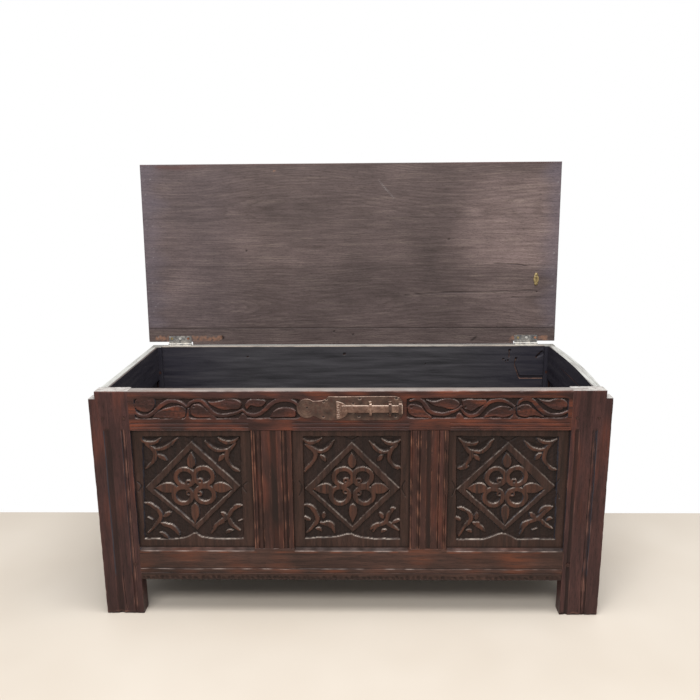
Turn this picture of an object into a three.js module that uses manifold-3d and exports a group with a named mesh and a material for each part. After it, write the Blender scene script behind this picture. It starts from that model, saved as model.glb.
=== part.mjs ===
// A joined oak coffer with its lid standing open: a pegged frame of stiles, rails and muntins
// round carved and plain panels, a boarded floor, a four-board lid on two butt hinges,
// and an iron lock plate with a sliding bolt.
// Millimetres, +X to the right, +Y to the back, +Z up.
import * as THREE from 'three';
import { mergeVertices } from 'three/addons/utils/BufferGeometryUtils.js';
import Module from 'manifold-3d';

const wasm = await Module();
wasm.setup();

// Driving dimensions of the case
const case_width = 1190;
const case_height = 565;
const case_depth = 474;
const foot_height = 91.5;
const bottom_rail_height = 83;
const top_rail_height = 94;
const middle_panel_width = 273;
const middle_panel_shift = 3.5;
const left_muntin_width = 94;
const right_muntin_width = 87.5;

// Stock sizes
const stile_width = 91;
const stile_thickness = 36;
const front_rail_thickness = 33;
const front_muntin_thickness = 30;
const rear_stile_width = 50;
const rear_stile_thickness = 32;
const back_rail_thickness = 22;
const back_top_rail_height = 150;
const back_muntin_width = 88;
const end_rail_thickness = 20;
const end_muntin_width = 80;
const right_rail_spread = 9;

// Notches at the top outer corners of the stiles
const notch_width = 20;
const notch_height = 22;

// Joinery
const joint_gap = 0.3;
const cutter_overrun = 5;
const tenon_shoulder = 10;
const tenon_haunch = 22;
const front_tenon_thickness = 10;
const front_tenon_length = 38;
const end_tenon_thickness = 12;
const end_tenon_length = 15;
const back_tenon_thickness = 8;
const back_tenon_length = 25;
const muntin_tenon_length = 30;
const end_muntin_tenon_length = 20;

// Panels and their grooves
const groove_depth = 8;
const panel_expansion_gap = 1;
const panel_edge_thickness = 6;
const front_panel_reveal = 8;
const front_panel_thickness = 13;
const front_panel_bevel = 16;
const end_panel_reveal = 5;
const back_panel_reveal = 6;

// Pegs
const peg_radius = 4.5;
const corner_peg_radius = 3.5;
const corner_peg_length = 62;
const peg_proud = 0.8;
const front_peg_from_shoulder = 13;
const back_peg_from_shoulder = 8;
const top_peg_drop = 17;
const peg_sides = 12;

// Floor
const floor_board_count = 5;
const floor_board_thickness = 15;
const floor_rise = 16;
const floor_groove_depth = 7;

// Lid
const lid_width = 1169;
const lid_depth = 500;
const lid_thickness = 20;
const lid_shift = -4;
const lid_gap = 0.6;
const lid_back_setback = 4;
const lid_hinge_board_width = 37;
const lid_rear_board_width = 180;
const lid_middle_board_width = 133;
const lid_lean_degrees = 3;
const right_angle_degrees = 90;

// Butt hinges
const hinge_inset = 14.5;
const leaf_length = 65;
const leaf_width = 25;
const leaf_thickness = 2;
const knuckle_radius = 3.5;
const knuckle_count = 5;
const knuckle_gap = 0.4;
const pin_radius = 1.6;
const pin_head_radius = 2.6;
const pin_head_length = 1.2;
const knuckle_sides = 16;

// Lock plate, with the round lobe at its left end
const plate_left = -73;
const plate_length = 194;
const plate_height = 57;
const plate_drop = 12;
const plate_thickness = 2;
const plate_corner_cut = 7;
const lobe_radius = 22.5;
const lobe_offset = 23;
const lobe_hole_radius = 2.2;
const lobe_sides = 40;
const neck_half_height = 15;

// Bolt, its two straps and its keeper
const bolt_length = 148;
const bolt_height = 17;
const bolt_thickness = 6;
const fan_length = 27;
const fan_rise = 17.5;
const fan_drop = 24.5;
const fan_thickness = 4.5;
const strap_width = 7;
const strap_thickness = 2.5;
const strap_foot = 7;
const first_strap_inset = 72;
const second_strap_inset = 28;
const keeper_width = 9;
const keeper_end_thickness = 1.6;

// Brass stay plate under the lid
const stay_plate_length = 40;
const stay_plate_width = 14;
const stay_plate_thickness = 2.5;
const stay_plate_inset = 60;
const stay_plate_from_edge = 177;
const stay_boss_radius = 4;
const stay_boss_height = 3;
const stay_hole_radius = 1.5;
const stay_hole_inset = 6;

// Mouldings: how deep each form is cut
const hollow_cut = 2.4;
const groove_cut = 2;
const reed_cut = 1.6;
const arc_steps = 6;

// The two lines along the lower edge of the front top rail
const edge_hollow_rise = 4;
const edge_hollow_height = 8;
const edge_line_rise = 17;
const edge_cut = 1.6;

// Panel carving: a sunk ground, and what the carver leaves standing on it
const panel_carving_cut = 4;
const design_rise = 7;
const ground_side_margin = 24;
const ground_top_margin = 16;
const ground_bottom_margin = 20;
const sill_peak_height = 14;
const lozenge_half_width_share = 0.81;
const lozenge_half_height_share = 0.75;
const lozenge_inner_share = 0.84;
const loop_outer_radius = 27;
const loop_inner_radius = 16.5;
const loop_spread = 24;
const eye_radius = 7;
const eye_hole_radius = 1.7;
const eye_spread = 14;
const upright_leaf_reach = [46, 84];
const level_leaf_reach = [42, 91];
const upright_leaf_half_width = 9;
const level_leaf_half_width = 11;
const crescent_thickness = 8;
const stem_thickness = 9;
const drop_half_width = 5.5;

// One corner's sprig, as shares of the opening's half width and half height from the middle
const small_crescent_shares = [[0.84, 0.82], [0.69, 0.74], [0.53, 0.82]];
const large_crescent_shares = [[0.69, 0.67], [0.5, 0.65], [0.25, 0.82]];
const stem_shares = [[0.77, 0.7], [0.62, 0.51], [0.78, 0.3]];
const drop_shares = [[0.58, 0.53], [0.43, 0.44]];

// Rail carving: a sunk strip each side of the lock, with a waving stem and a leaf in each bend
const rail_carving_cut = 3.5;
const vine_strip_rise = 28;
const vine_strip_height = 49;
const vine_end_margin = 13;
const vine_plate_margin = 9;
const vine_wave_height = 17.5;
const vine_half_width = 4;
const vine_steps = 12;
const vine_turns = [-1, 1, -1];
const vine_leaf_inset = 3;
const vine_leaf_bulge = 23;
const vine_leaf_shares = [0.05, 0.45];

// Mouldings across a member's face: each form, then where it starts and ends as shares of the width
const left_stile_moulding_shares = [
  ['hollow', 0.31, 0.49],
  ['groove', 0.76, 0.8],
  ['reed', 0.8, 0.87],
];
const right_stile_moulding_shares = [
  ['groove', 0.335, 0.385],
  ['reed', 0.385, 0.46],
  ['hollow', 0.79, 0.9],
];
const left_muntin_moulding_shares = [
  ['reed', 0, 0.055],
  ['reed', 0.055, 0.115],
  ['groove', 0.115, 0.14],
  ['reed', 0.14, 0.23],
  ['groove', 0.23, 0.26],
  ['hollow', 0.46, 0.64],
  ['groove', 0.745, 0.77],
  ['reed', 0.77, 0.83],
  ['hollow', 0.83, 0.89],
];
const right_muntin_moulding_shares = [
  ['reed', 0, 0.06],
  ['reed', 0.18, 0.245],
  ['groove', 0.245, 0.275],
  ['hollow', 0.425, 0.57],
  ['groove', 0.745, 0.775],
  ['reed', 0.89, 0.945],
];
const bottom_rail_moulding_shares = [
  ['groove', 0.21, 0.25],
  ['groove', 0.36, 0.395],
];

// Planes of the case that the pieces share
const half_case = case_width / 2;
const stile_inner = half_case - stile_width;
const opening_bottom = foot_height + bottom_rail_height;
const opening_top = case_height - top_rail_height;
const notch_inner = half_case - notch_width;
const notch_floor = case_height - notch_height;
const end_outer = notch_inner;
const end_inner = end_outer - end_rail_thickness;
const rear_stile_inner = half_case - rear_stile_width;
const rear_stile_front = case_depth - rear_stile_thickness;
const back_inner = case_depth - back_rail_thickness;
const back_opening_top = case_height - back_top_rail_height;
const floor_bottom = foot_height + floor_rise;
const floor_top = floor_bottom + floor_board_thickness;
const middle_panel_left = middle_panel_shift - middle_panel_width / 2;
const middle_panel_right = middle_panel_shift + middle_panel_width / 2;
const left_muntin_left = middle_panel_left - left_muntin_width;
const right_muntin_right = middle_panel_right + right_muntin_width;
const groove_top = opening_top + groove_depth;
const groove_floor = opening_bottom - groove_depth;
const panel_reach = groove_depth - panel_expansion_gap;

// The hinge pin, and how far the lid's back edge stands from it
const knuckle_standoff = knuckle_radius + joint_gap;
const pin_y = case_depth + knuckle_standoff;
const pin_z = case_height + lid_gap / 2;
const lid_edge_gap = knuckle_standoff + lid_back_setback;
const lid_underside = lid_gap / 2;

const oak_dark = { color: 0x46291f, roughness: 0.45, metalness: 0 };
const oak_red = { color: 0x5a2c20, roughness: 0.42, metalness: 0 };
const oak_panel = { color: 0x38231c, roughness: 0.5, metalness: 0 };
const oak_inside = { color: 0x3b302c, roughness: 0.7, metalness: 0 };
const oak_lid = { color: 0x5f4e48, roughness: 0.6, metalness: 0 };
const oak_peg = { color: 0x6a4836, roughness: 0.6, metalness: 0 };
const old_iron = { color: 0x6b5248, roughness: 0.5, metalness: 0.7 };
const hinge_steel = { color: 0xa8a49c, roughness: 0.35, metalness: 0.9 };
const old_brass = { color: 0xa8864c, roughness: 0.35, metalness: 0.9 };

// Solids for cutting and joining, and their return to drawn geometry

function toSolid(geometry) {
  const bare = geometry.index ? geometry.toNonIndexed() : geometry.clone();
  bare.deleteAttribute('normal');
  bare.deleteAttribute('uv');
  const merged = mergeVertices(bare);
  const mesh = new wasm.Mesh({
    numProp: 3,
    vertProperties: new Float32Array(merged.attributes.position.array),
    triVerts: new Uint32Array(merged.index.array),
  });
  return new wasm.Manifold(mesh);
}

function toGeometry(solid) {
  const mesh = solid.getMesh();
  const geometry = new THREE.BufferGeometry();
  geometry.setAttribute('position', new THREE.BufferAttribute(mesh.vertProperties, mesh.numProp));
  geometry.setIndex(new THREE.BufferAttribute(mesh.triVerts, 1));
  geometry.computeVertexNormals();
  return geometry;
}

function join(solids) {
  return solids.reduce((whole, solid) => whole.add(solid));
}

function cut(solid, cutters) {
  return cutters.reduce((rest, cutter) => rest.subtract(cutter), solid);
}

function block(x, y, z) {
  const geometry = new THREE.BoxGeometry(x[1] - x[0], y[1] - y[0], z[1] - z[0]);
  geometry.translate((x[0] + x[1]) / 2, (y[0] + y[1]) / 2, (z[0] + z[1]) / 2);
  return toSolid(geometry);
}

function extruded(shape, length) {
  return new THREE.ExtrudeGeometry(shape, {
    depth: length, bevelEnabled: false, curveSegments: arc_steps,
  });
}

function outline(corners) {
  return new THREE.Shape(corners.map(([u, v]) => new THREE.Vector2(u, v)));
}

// A shape drawn in X and Y, raised between two heights
function raised(shape, z) {
  const geometry = extruded(shape, z[1] - z[0]);
  geometry.translate(0, 0, z[0]);
  return toSolid(geometry);
}

// A shape drawn in X and Z, as seen from the front, given a depth in Y
function frontal(shape, y) {
  const geometry = extruded(shape, y[1] - y[0]);
  geometry.rotateX(Math.PI / 2);
  geometry.translate(0, y[1], 0);
  return toSolid(geometry);
}

// A shape drawn in Y and Z, given a length in X
function lengthwise(shape, x) {
  const geometry = extruded(shape, x[1] - x[0]);
  geometry.applyMatrix4(new THREE.Matrix4().makeBasis(
    new THREE.Vector3(0, 1, 0), new THREE.Vector3(0, 0, 1), new THREE.Vector3(1, 0, 0)));
  geometry.translate(x[0], 0, 0);
  return toSolid(geometry);
}

function disc(x, y, radius) {
  const shape = new THREE.Shape();
  shape.absarc(x, y, radius, 0, 2 * Math.PI, false);
  return shape;
}

function ring(x, y, outer_radius, inner_radius) {
  const shape = disc(x, y, outer_radius);
  shape.holes.push(disc(x, y, inner_radius));
  return shape;
}

// A pointed oval from its base to its tip
function leaf(base, tip, half_width) {
  const side = new THREE.Vector2(base.y - tip.y, tip.x - base.x).setLength(2 * half_width);
  const centre = base.clone().add(tip).divideScalar(2);
  const shape = new THREE.Shape();
  shape.moveTo(base.x, base.y);
  shape.quadraticCurveTo(centre.x + side.x, centre.y + side.y, tip.x, tip.y);
  shape.quadraticCurveTo(centre.x - side.x, centre.y - side.y, base.x, base.y);
  return shape;
}

// A band that starts and ends in points, bowed through its middle point
function crescent(start, bow, end, thickness) {
  const centre = start.clone().add(end).divideScalar(2);
  const out = bow.clone().sub(centre);
  const near = centre.clone().addScaledVector(out, 2);
  const far = near.clone().add(out.setLength(2 * thickness));
  const shape = new THREE.Shape();
  shape.moveTo(start.x, start.y);
  shape.quadraticCurveTo(near.x, near.y, end.x, end.y);
  shape.quadraticCurveTo(far.x, far.y, start.x, start.y);
  return shape;
}

// What the carver takes away: the ground's outline sunk below a face, less the forms left standing
function carved(solid, face_y, depth, ground, forms) {
  const y = [face_y - cutter_overrun, face_y + depth];
  const standing = forms.map((form) => frontal(form, grown(y, cutter_overrun)));
  return cut(solid, [cut(frontal(ground, y), standing)]);
}

function rodAlongX(radius, x, y, z, sides) {
  const geometry = new THREE.CylinderGeometry(radius, radius, x[1] - x[0], sides);
  geometry.rotateZ(Math.PI / 2);
  geometry.translate((x[0] + x[1]) / 2, y, z);
  return toSolid(geometry);
}

function rodAlongY(radius, x, y, z, sides) {
  const geometry = new THREE.CylinderGeometry(radius, radius, y[1] - y[0], sides);
  geometry.translate(x, (y[0] + y[1]) / 2, z);
  return toSolid(geometry);
}

function grown(span, amount) {
  return [span[0] - amount, span[1] + amount];
}

function middle(span) {
  return (span[0] + span[1]) / 2;
}

function about(centre, size) {
  return [centre - size / 2, centre + size / 2];
}

// The same span on the left of the centre line (side -1) or on the right (side 1)
function sided(side, span) {
  return side < 0 ? [-span[1], -span[0]] : span;
}

const coffer = new THREE.Group();

function place(name, solid, finish, holder = coffer) {
  const mesh = new THREE.Mesh(toGeometry(solid), new THREE.MeshStandardMaterial(finish));
  mesh.name = name;
  holder.add(mesh);
  return mesh;
}

// The line of a moulded face: how far along the width, and how deep below the face
function mouldedFace(width, moulding_shares) {
  const face = [];
  const same = (point, u, v) => point && point[0] === u && point[1] === v;
  const add = (u, v) => {
    if (same(face.at(-2), u, v)) face.pop();
    else if (!same(face.at(-1), u, v)) face.push([u, v]);
  };
  if (moulding_shares[0][1] > 0) add(0, 0);
  for (const [form, start_share, end_share] of moulding_shares) {
    const start = start_share * width;
    const end = end_share * width;
    if (start > 0) add(start, 0);
    if (form === 'groove') {
      add((start + end) / 2, groove_cut);
    } else {
      for (let step = 0; step <= arc_steps; step += 1) {
        const along = step / arc_steps;
        const rise = (2 * along - 1) ** 2;
        const depth = form === 'reed' ? reed_cut * rise : hollow_cut * (1 - rise);
        add(step < arc_steps ? start + (end - start) * along : end, depth);
      }
    }
    add(end, 0);
  }
  add(width, 0);
  return face;
}

// An upright member whose front face, at y = 0, is moulded
function mouldedPost(x, thickness, moulding_shares, z, mirrored) {
  const across = (u) => (mirrored ? x[1] - u : x[0] + u);
  const width = x[1] - x[0];
  const corners = mouldedFace(width, moulding_shares).map(([u, v]) => [across(u), v]);
  corners.push([across(width), thickness], [across(0), thickness]);
  return raised(outline(corners), z);
}

// The front frame's tenons and grooves: each mortise is its tenon grown by the joint gap
const front_tenon_x = [stile_inner - cutter_overrun, stile_inner + front_tenon_length];
const front_tenon_y = about(front_muntin_thickness / 2, front_tenon_thickness);
const front_groove_y = grown([front_panel_reveal, front_panel_reveal + panel_edge_thickness], joint_gap);
const bottom_tenon_z = [foot_height + tenon_shoulder, groove_floor - tenon_shoulder / 2];
const left_top_tenon_z = [groove_top + tenon_shoulder, case_height - tenon_haunch];
const right_top_tenon_z = [groove_top + tenon_shoulder, case_height];

// The end frames
const end_tenon_x = about(middle([end_inner, end_outer]), end_tenon_thickness);
const end_top_tenon_z = [groove_top + tenon_shoulder, notch_floor - tenon_shoulder];
const end_groove_x = grown(
  [end_outer - end_panel_reveal - panel_edge_thickness, end_outer - end_panel_reveal], joint_gap);
const end_y = [stile_thickness, rear_stile_front];
const end_muntin_y = about(middle(end_y), end_muntin_width);

// The back frame
const back_tenon_x = [rear_stile_inner - cutter_overrun, rear_stile_inner + back_tenon_length];
const back_tenon_y = about(middle([back_inner, case_depth]), back_tenon_thickness);
const back_top_tenon_z = [back_opening_top + groove_depth + tenon_shoulder, case_height - tenon_haunch];
const back_groove_y = grown(
  [case_depth - back_panel_reveal - panel_edge_thickness, case_depth - back_panel_reveal], joint_gap);

// Where each peg is driven
const top_peg_z = middle([opening_top, case_height]) - top_peg_drop;
const bottom_peg_z = middle([foot_height, opening_bottom]);
const back_top_peg_z = middle([back_opening_top, case_height]);
const front_peg_x = stile_inner + front_peg_from_shoulder;
const back_peg_x = rear_stile_inner + back_peg_from_shoulder;
const corner_peg_x = middle([end_inner, end_outer]);

function frontPegHoles(side) {
  const y = [-cutter_overrun, stile_thickness + cutter_overrun];
  return [top_peg_z, bottom_peg_z].map(
    (z) => rodAlongY(peg_radius + joint_gap, side * front_peg_x, y, z, peg_sides));
}

function cornerPegHole(side) {
  const y = [-cutter_overrun, corner_peg_length + joint_gap];
  return rodAlongY(corner_peg_radius + joint_gap, side * corner_peg_x, y, top_peg_z, peg_sides);
}

function backPegHoles(side) {
  const y = [rear_stile_front - cutter_overrun, case_depth + cutter_overrun];
  return [back_top_peg_z, bottom_peg_z].map(
    (z) => rodAlongY(peg_radius + joint_gap, side * back_peg_x, y, z, peg_sides));
}

// What a stile loses at its top outer corner and to the end frame's rails and panel
function stileEndCuts(side, y, end_face_y, into) {
  const past = end_face_y - into * cutter_overrun;
  const reaching = (depth) => [past, end_face_y + into * depth].sort((a, b) => a - b);
  const mortise_x = sided(side, grown(end_tenon_x, joint_gap));
  const mortise_y = reaching(end_tenon_length + joint_gap);
  return [
    block(sided(side, [notch_inner, half_case + cutter_overrun]), grown(y, cutter_overrun),
      [notch_floor, case_height + cutter_overrun]),
    block(mortise_x, mortise_y, grown(end_top_tenon_z, joint_gap)),
    block(mortise_x, mortise_y, grown(bottom_tenon_z, joint_gap)),
    block(sided(side, end_groove_x), reaching(groove_depth), [groove_floor, groove_top]),
  ];
}

// Front stiles: moulded below the top rail and plain beside it
function frontStile(side, moulding_shares, top_mortise_z) {
  const x = sided(side, [stile_inner, half_case]);
  const y = [0, stile_thickness];
  const mortise_x = sided(side, grown(front_tenon_x, joint_gap));
  const mortise_y = grown(front_tenon_y, joint_gap);
  const lower = mouldedPost(x, stile_thickness, moulding_shares, [0, opening_top], side > 0);
  return cut(join([lower, block(x, y, [opening_top, case_height])]), [
    block(mortise_x, mortise_y, top_mortise_z),
    block(mortise_x, mortise_y, grown(bottom_tenon_z, joint_gap)),
    block(sided(side, [stile_inner - cutter_overrun, stile_inner + groove_depth]),
      front_groove_y, [groove_floor, groove_top]),
    ...stileEndCuts(side, y, stile_thickness, -1),
    ...frontPegHoles(side),
    cornerPegHole(side),
  ]);
}

const closed_mortise_z = grown(left_top_tenon_z, joint_gap);
const open_mortise_z = [right_top_tenon_z[0] - joint_gap, case_height + cutter_overrun];
place('front_left_stile', frontStile(-1, left_stile_moulding_shares, closed_mortise_z), oak_dark);
place('front_right_stile', frontStile(1, right_stile_moulding_shares, open_mortise_z), oak_dark);

// Rear stiles: plain posts
function rearStile(side) {
  const y = [rear_stile_front, case_depth];
  const mortise_x = sided(side, grown(back_tenon_x, joint_gap));
  const mortise_y = grown(back_tenon_y, joint_gap);
  return cut(block(sided(side, [rear_stile_inner, half_case]), y, [0, case_height]), [
    block(mortise_x, mortise_y, grown(back_top_tenon_z, joint_gap)),
    block(mortise_x, mortise_y, grown(bottom_tenon_z, joint_gap)),
    block(sided(side, [rear_stile_inner - cutter_overrun, rear_stile_inner + groove_depth]),
      back_groove_y, [groove_floor, back_opening_top + groove_depth]),
    ...stileEndCuts(side, y, rear_stile_front, 1),
    ...backPegHoles(side),
  ]);
}

place('rear_left_stile', rearStile(-1), oak_dark);
place('rear_right_stile', rearStile(1), oak_dark);

// The front's three openings and two muntins, from left to right
const front_openings = {
  left: [-stile_inner, left_muntin_left],
  middle: [middle_panel_left, middle_panel_right],
  right: [right_muntin_right, stile_inner],
};
const front_muntins = {
  left: [left_muntin_left, middle_panel_left],
  right: [middle_panel_right, right_muntin_right],
};
const front_rail_x = grown([-stile_inner, stile_inner], -joint_gap);

function muntinMortises(muntins, tenon_y, z) {
  return Object.values(muntins).map(
    (x) => block(grown(x, joint_gap - tenon_shoulder), grown(tenon_y, joint_gap), z));
}

// Front top rail: its right tenon stands open at the top, and two lines run over each opening
function edgeLines(x) {
  const hollow = opening_top + edge_hollow_rise;
  const line = opening_top + edge_line_rise;
  const front = -cutter_overrun;
  return [
    outline([
      [front, hollow], [0, hollow], [edge_cut, hollow + edge_hollow_height / 4],
      [edge_cut, hollow + edge_hollow_height * 3 / 4],
      [0, hollow + edge_hollow_height], [front, hollow + edge_hollow_height],
    ]),
    outline([
      [front, line - edge_cut], [0, line - edge_cut], [edge_cut, line],
      [0, line + edge_cut], [front, line + edge_cut],
    ]),
  ].map((shape) => lengthwise(shape, x));
}

// One strip of the vine, drawn from its outer end towards the lock
function vineForms(outer_x, inner_x) {
  const bend = (inner_x - outer_x) / vine_turns.length;
  const line_z = opening_top + vine_strip_rise + vine_strip_height / 2;
  const edge = vine_strip_height / 2 - vine_leaf_inset;
  return vine_turns.flatMap((turn, index) => {
    const start_x = outer_x + index * bend;
    const near_side = [];
    const far_side = [];
    for (let step = 0; step <= vine_steps; step += 1) {
      const angle = 2 * Math.PI * step / vine_steps;
      const point = new THREE.Vector2(
        start_x + bend * step / vine_steps, line_z + turn * vine_wave_height * Math.sin(angle));
      const slope = turn * vine_wave_height * 2 * Math.PI * Math.cos(angle);
      const across = new THREE.Vector2(-slope, bend).setLength(vine_half_width);
      near_side.push(point.clone().add(across));
      far_side.unshift(point.clone().sub(across));
    }
    const leaves = [1, -1].map((half) => {
      const side = -turn * half;
      const shares = vine_leaf_shares.map((share) => (half > 0 ? share : 1 - share));
      const [from_x, to_x] = shares.map((share) => start_x + bend * share);
      const shape = new THREE.Shape();
      shape.moveTo(from_x, line_z + side * edge);
      shape.quadraticCurveTo(
        (from_x + to_x) / 2, line_z + side * (edge - 2 * vine_leaf_bulge), to_x, line_z + side * edge);
      return shape;
    });
    return [new THREE.Shape([...near_side, ...far_side]), ...leaves];
  });
}

function vineStrip(solid, outer_x, inner_x) {
  const z = [opening_top + vine_strip_rise, opening_top + vine_strip_rise + vine_strip_height];
  const ground = outline([[outer_x, z[0]], [inner_x, z[0]], [inner_x, z[1]], [outer_x, z[1]]]);
  return carved(solid, 0, rail_carving_cut, ground, vineForms(outer_x, inner_x));
}

function frontTopRail() {
  const body = cut(block(front_rail_x, [0, front_rail_thickness], [opening_top, case_height]), [
    block(grown(front_rail_x, cutter_overrun), front_groove_y, [opening_top - cutter_overrun, groove_top]),
    ...muntinMortises(front_muntins, front_tenon_y,
      [opening_top - cutter_overrun, opening_top + muntin_tenon_length]),
    ...Object.values(front_openings).flatMap(edgeLines),
  ]);
  const vine_end = stile_inner - vine_end_margin;
  const left_carved = vineStrip(body, -vine_end, plate_left - lobe_offset - lobe_radius);
  const both_carved = vineStrip(left_carved, vine_end, plate_left + plate_length + vine_plate_margin);
  return cut(join([
    both_carved,
    block(sided(-1, front_tenon_x), front_tenon_y, left_top_tenon_z),
    block(sided(1, front_tenon_x), front_tenon_y, right_top_tenon_z),
  ]), [...frontPegHoles(-1), ...frontPegHoles(1)]);
}

place('front_top_rail', frontTopRail(), oak_red);

// Front bottom rail: lined along its lower edge, and grooved inside for the floor
function frontBottomRail() {
  const corners = mouldedFace(bottom_rail_height, bottom_rail_moulding_shares)
    .map(([u, v]) => [v, foot_height + u]);
  corners.push([front_rail_thickness, opening_bottom], [front_rail_thickness, foot_height]);
  const body = cut(lengthwise(outline(corners), front_rail_x), [
    block(grown(front_rail_x, cutter_overrun), front_groove_y,
      [groove_floor, opening_bottom + cutter_overrun]),
    block(grown(front_rail_x, cutter_overrun),
      [front_rail_thickness - floor_groove_depth, front_rail_thickness + cutter_overrun],
      grown([floor_bottom, floor_top], joint_gap)),
    ...muntinMortises(front_muntins, front_tenon_y,
      [opening_bottom - muntin_tenon_length, opening_bottom + cutter_overrun]),
  ]);
  return cut(join([
    body,
    block(sided(-1, front_tenon_x), front_tenon_y, bottom_tenon_z),
    block(sided(1, front_tenon_x), front_tenon_y, bottom_tenon_z),
  ]), [...frontPegHoles(-1), ...frontPegHoles(1)]);
}

place('front_bottom_rail', frontBottomRail(), oak_red);

// A muntin's tenons run through it from end to end, and its edges are grooved for the panels
function muntinTenon(x, y, z) {
  return block(grown(x, -tenon_shoulder), y, grown(z, muntin_tenon_length - joint_gap));
}

function frontMuntin(x, moulding_shares) {
  const z = [opening_bottom, opening_top];
  const post = mouldedPost(x, front_muntin_thickness, moulding_shares, grown(z, -joint_gap), false);
  const groove_z = grown(z, muntin_tenon_length);
  return cut(join([post, muntinTenon(x, front_tenon_y, z)]), [
    block([x[0] - cutter_overrun, x[0] + groove_depth], front_groove_y, groove_z),
    block([x[1] - groove_depth, x[1] + cutter_overrun], front_groove_y, groove_z),
  ]);
}

place('front_left_muntin', frontMuntin(front_muntins.left, left_muntin_moulding_shares), oak_dark);
place('front_right_muntin', frontMuntin(front_muntins.right, right_muntin_moulding_shares), oak_dark);

// The panels' design: a lozenge band round four loops with eyes and four leaves, and a sprig in
// each corner. The ground's lower edge rises to a small peak.
function panelGround(x, z) {
  const left = x[0] + ground_side_margin;
  const right = x[1] - ground_side_margin;
  const sill = z[0] + ground_bottom_margin;
  const lintel = z[1] - ground_top_margin;
  const centre_x = middle(x);
  const shape = new THREE.Shape();
  shape.moveTo(left, sill);
  shape.quadraticCurveTo(centre_x, sill, centre_x, sill + sill_peak_height);
  shape.quadraticCurveTo(centre_x, sill, right, sill);
  shape.lineTo(right, lintel);
  shape.lineTo(left, lintel);
  return shape;
}

function lozenge(centre, half_width, half_height) {
  return outline([
    [centre.x - half_width, centre.y], [centre.x, centre.y - half_height],
    [centre.x + half_width, centre.y], [centre.x, centre.y + half_height],
  ]);
}

function panelForms(x, z) {
  const centre = new THREE.Vector2(middle(x), middle(z) + design_rise);
  const half_width = (x[1] - x[0]) / 2;
  const half_height = (z[1] - z[0]) / 2;
  const band_width = half_width * lozenge_half_width_share;
  const band_height = half_height * lozenge_half_height_share;
  const band = lozenge(centre, band_width, band_height);
  band.holes.push(lozenge(centre, band_width * lozenge_inner_share, band_height * lozenge_inner_share));
  const corners = [[-1, 1], [1, 1], [1, -1], [-1, -1]];
  const sprigs = corners.flatMap(([right, up]) => {
    const at = ([across, along]) => centre.clone().add(
      new THREE.Vector2(right * across * half_width, up * along * half_height));
    return [
      crescent(...small_crescent_shares.map(at), crescent_thickness),
      crescent(...large_crescent_shares.map(at), crescent_thickness),
      crescent(...stem_shares.map(at), stem_thickness),
      leaf(...drop_shares.map(at), drop_half_width),
    ];
  });
  const loops = corners.map(([right, up]) => ring(
    centre.x + right * loop_spread, centre.y + up * loop_spread, loop_outer_radius, loop_inner_radius));
  const eyes = corners.map(([right, up]) => ring(
    centre.x + right * eye_spread, centre.y + up * eye_spread, eye_radius, eye_hole_radius));
  const leaves = [1, -1].flatMap((side) => [
    leaf(...upright_leaf_reach.map((reach) => centre.clone().add(new THREE.Vector2(0, side * reach))),
      upright_leaf_half_width),
    leaf(...level_leaf_reach.map((reach) => centre.clone().add(new THREE.Vector2(side * reach, 0))),
      level_leaf_half_width),
  ]);
  return [band, ...sprigs, ...loops, ...eyes, ...leaves];
}

// Front panels: a thin edge held in the grooves, and a thicker field bevelled behind
function frontPanel(x) {
  const z = [opening_bottom, opening_top];
  const edge_back = front_panel_reveal + panel_edge_thickness;
  const field_thickness = front_panel_thickness - panel_edge_thickness;
  const edge = block(grown(x, panel_reach), [front_panel_reveal, edge_back], grown(z, panel_reach));
  const field = new THREE.BoxGeometry(1, field_thickness, 1);
  const position = field.attributes.position;
  for (let i = 0; i < position.count; i += 1) {
    const inset = position.getY(i) > 0 ? front_panel_bevel : joint_gap;
    position.setX(i, middle(x) + position.getX(i) * (x[1] - x[0] - 2 * inset));
    position.setZ(i, middle(z) + position.getZ(i) * (z[1] - z[0] - 2 * inset));
  }
  field.translate(0, edge_back + field_thickness / 2, 0);
  return carved(join([edge, toSolid(field)]), front_panel_reveal, panel_carving_cut,
    panelGround(x, z), panelForms(x, z));
}

for (const [side_name, x] of Object.entries(front_openings)) {
  place(`front_${side_name}_panel`, frontPanel(x), oak_panel);
}

// Ends: two rails, a muntin and two plain panels between the front and rear stiles

// The upper rail's top edge can spread outward between its ends
const spread_steps = 10;

function spreadBlock(x, y, z, spread) {
  const geometry = new THREE.BoxGeometry(x[1] - x[0], y[1] - y[0], z[1] - z[0], 1, spread_steps, 1);
  geometry.translate(middle(x), middle(y), middle(z));
  const position = geometry.attributes.position;
  for (let i = 0; i < position.count; i += 1) {
    const along = (position.getY(i) - y[0]) / (y[1] - y[0]);
    const rise = (position.getZ(i) - z[0]) / (z[1] - z[0]);
    position.setX(i, position.getX(i) + spread * rise * Math.sin(Math.PI * along));
  }
  return toSolid(geometry);
}

function endMuntinMortise(side, z) {
  return block(
    sided(side, grown(end_tenon_x, joint_gap)), grown(end_muntin_y, joint_gap - tenon_shoulder), z);
}

function endTopRail(side, spread) {
  const rail = spreadBlock(
    sided(side, [end_inner, end_outer]), grown(end_y, -joint_gap), [opening_top, case_height], spread);
  const tenons = block(sided(side, end_tenon_x), grown(end_y, end_tenon_length), end_top_tenon_z);
  return cut(join([rail, tenons]), [
    block(sided(side, end_groove_x), grown(end_y, cutter_overrun),
      [opening_top - cutter_overrun, groove_top]),
    endMuntinMortise(side, [opening_top - cutter_overrun, opening_top + end_muntin_tenon_length]),
    cornerPegHole(side),
  ]);
}

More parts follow.
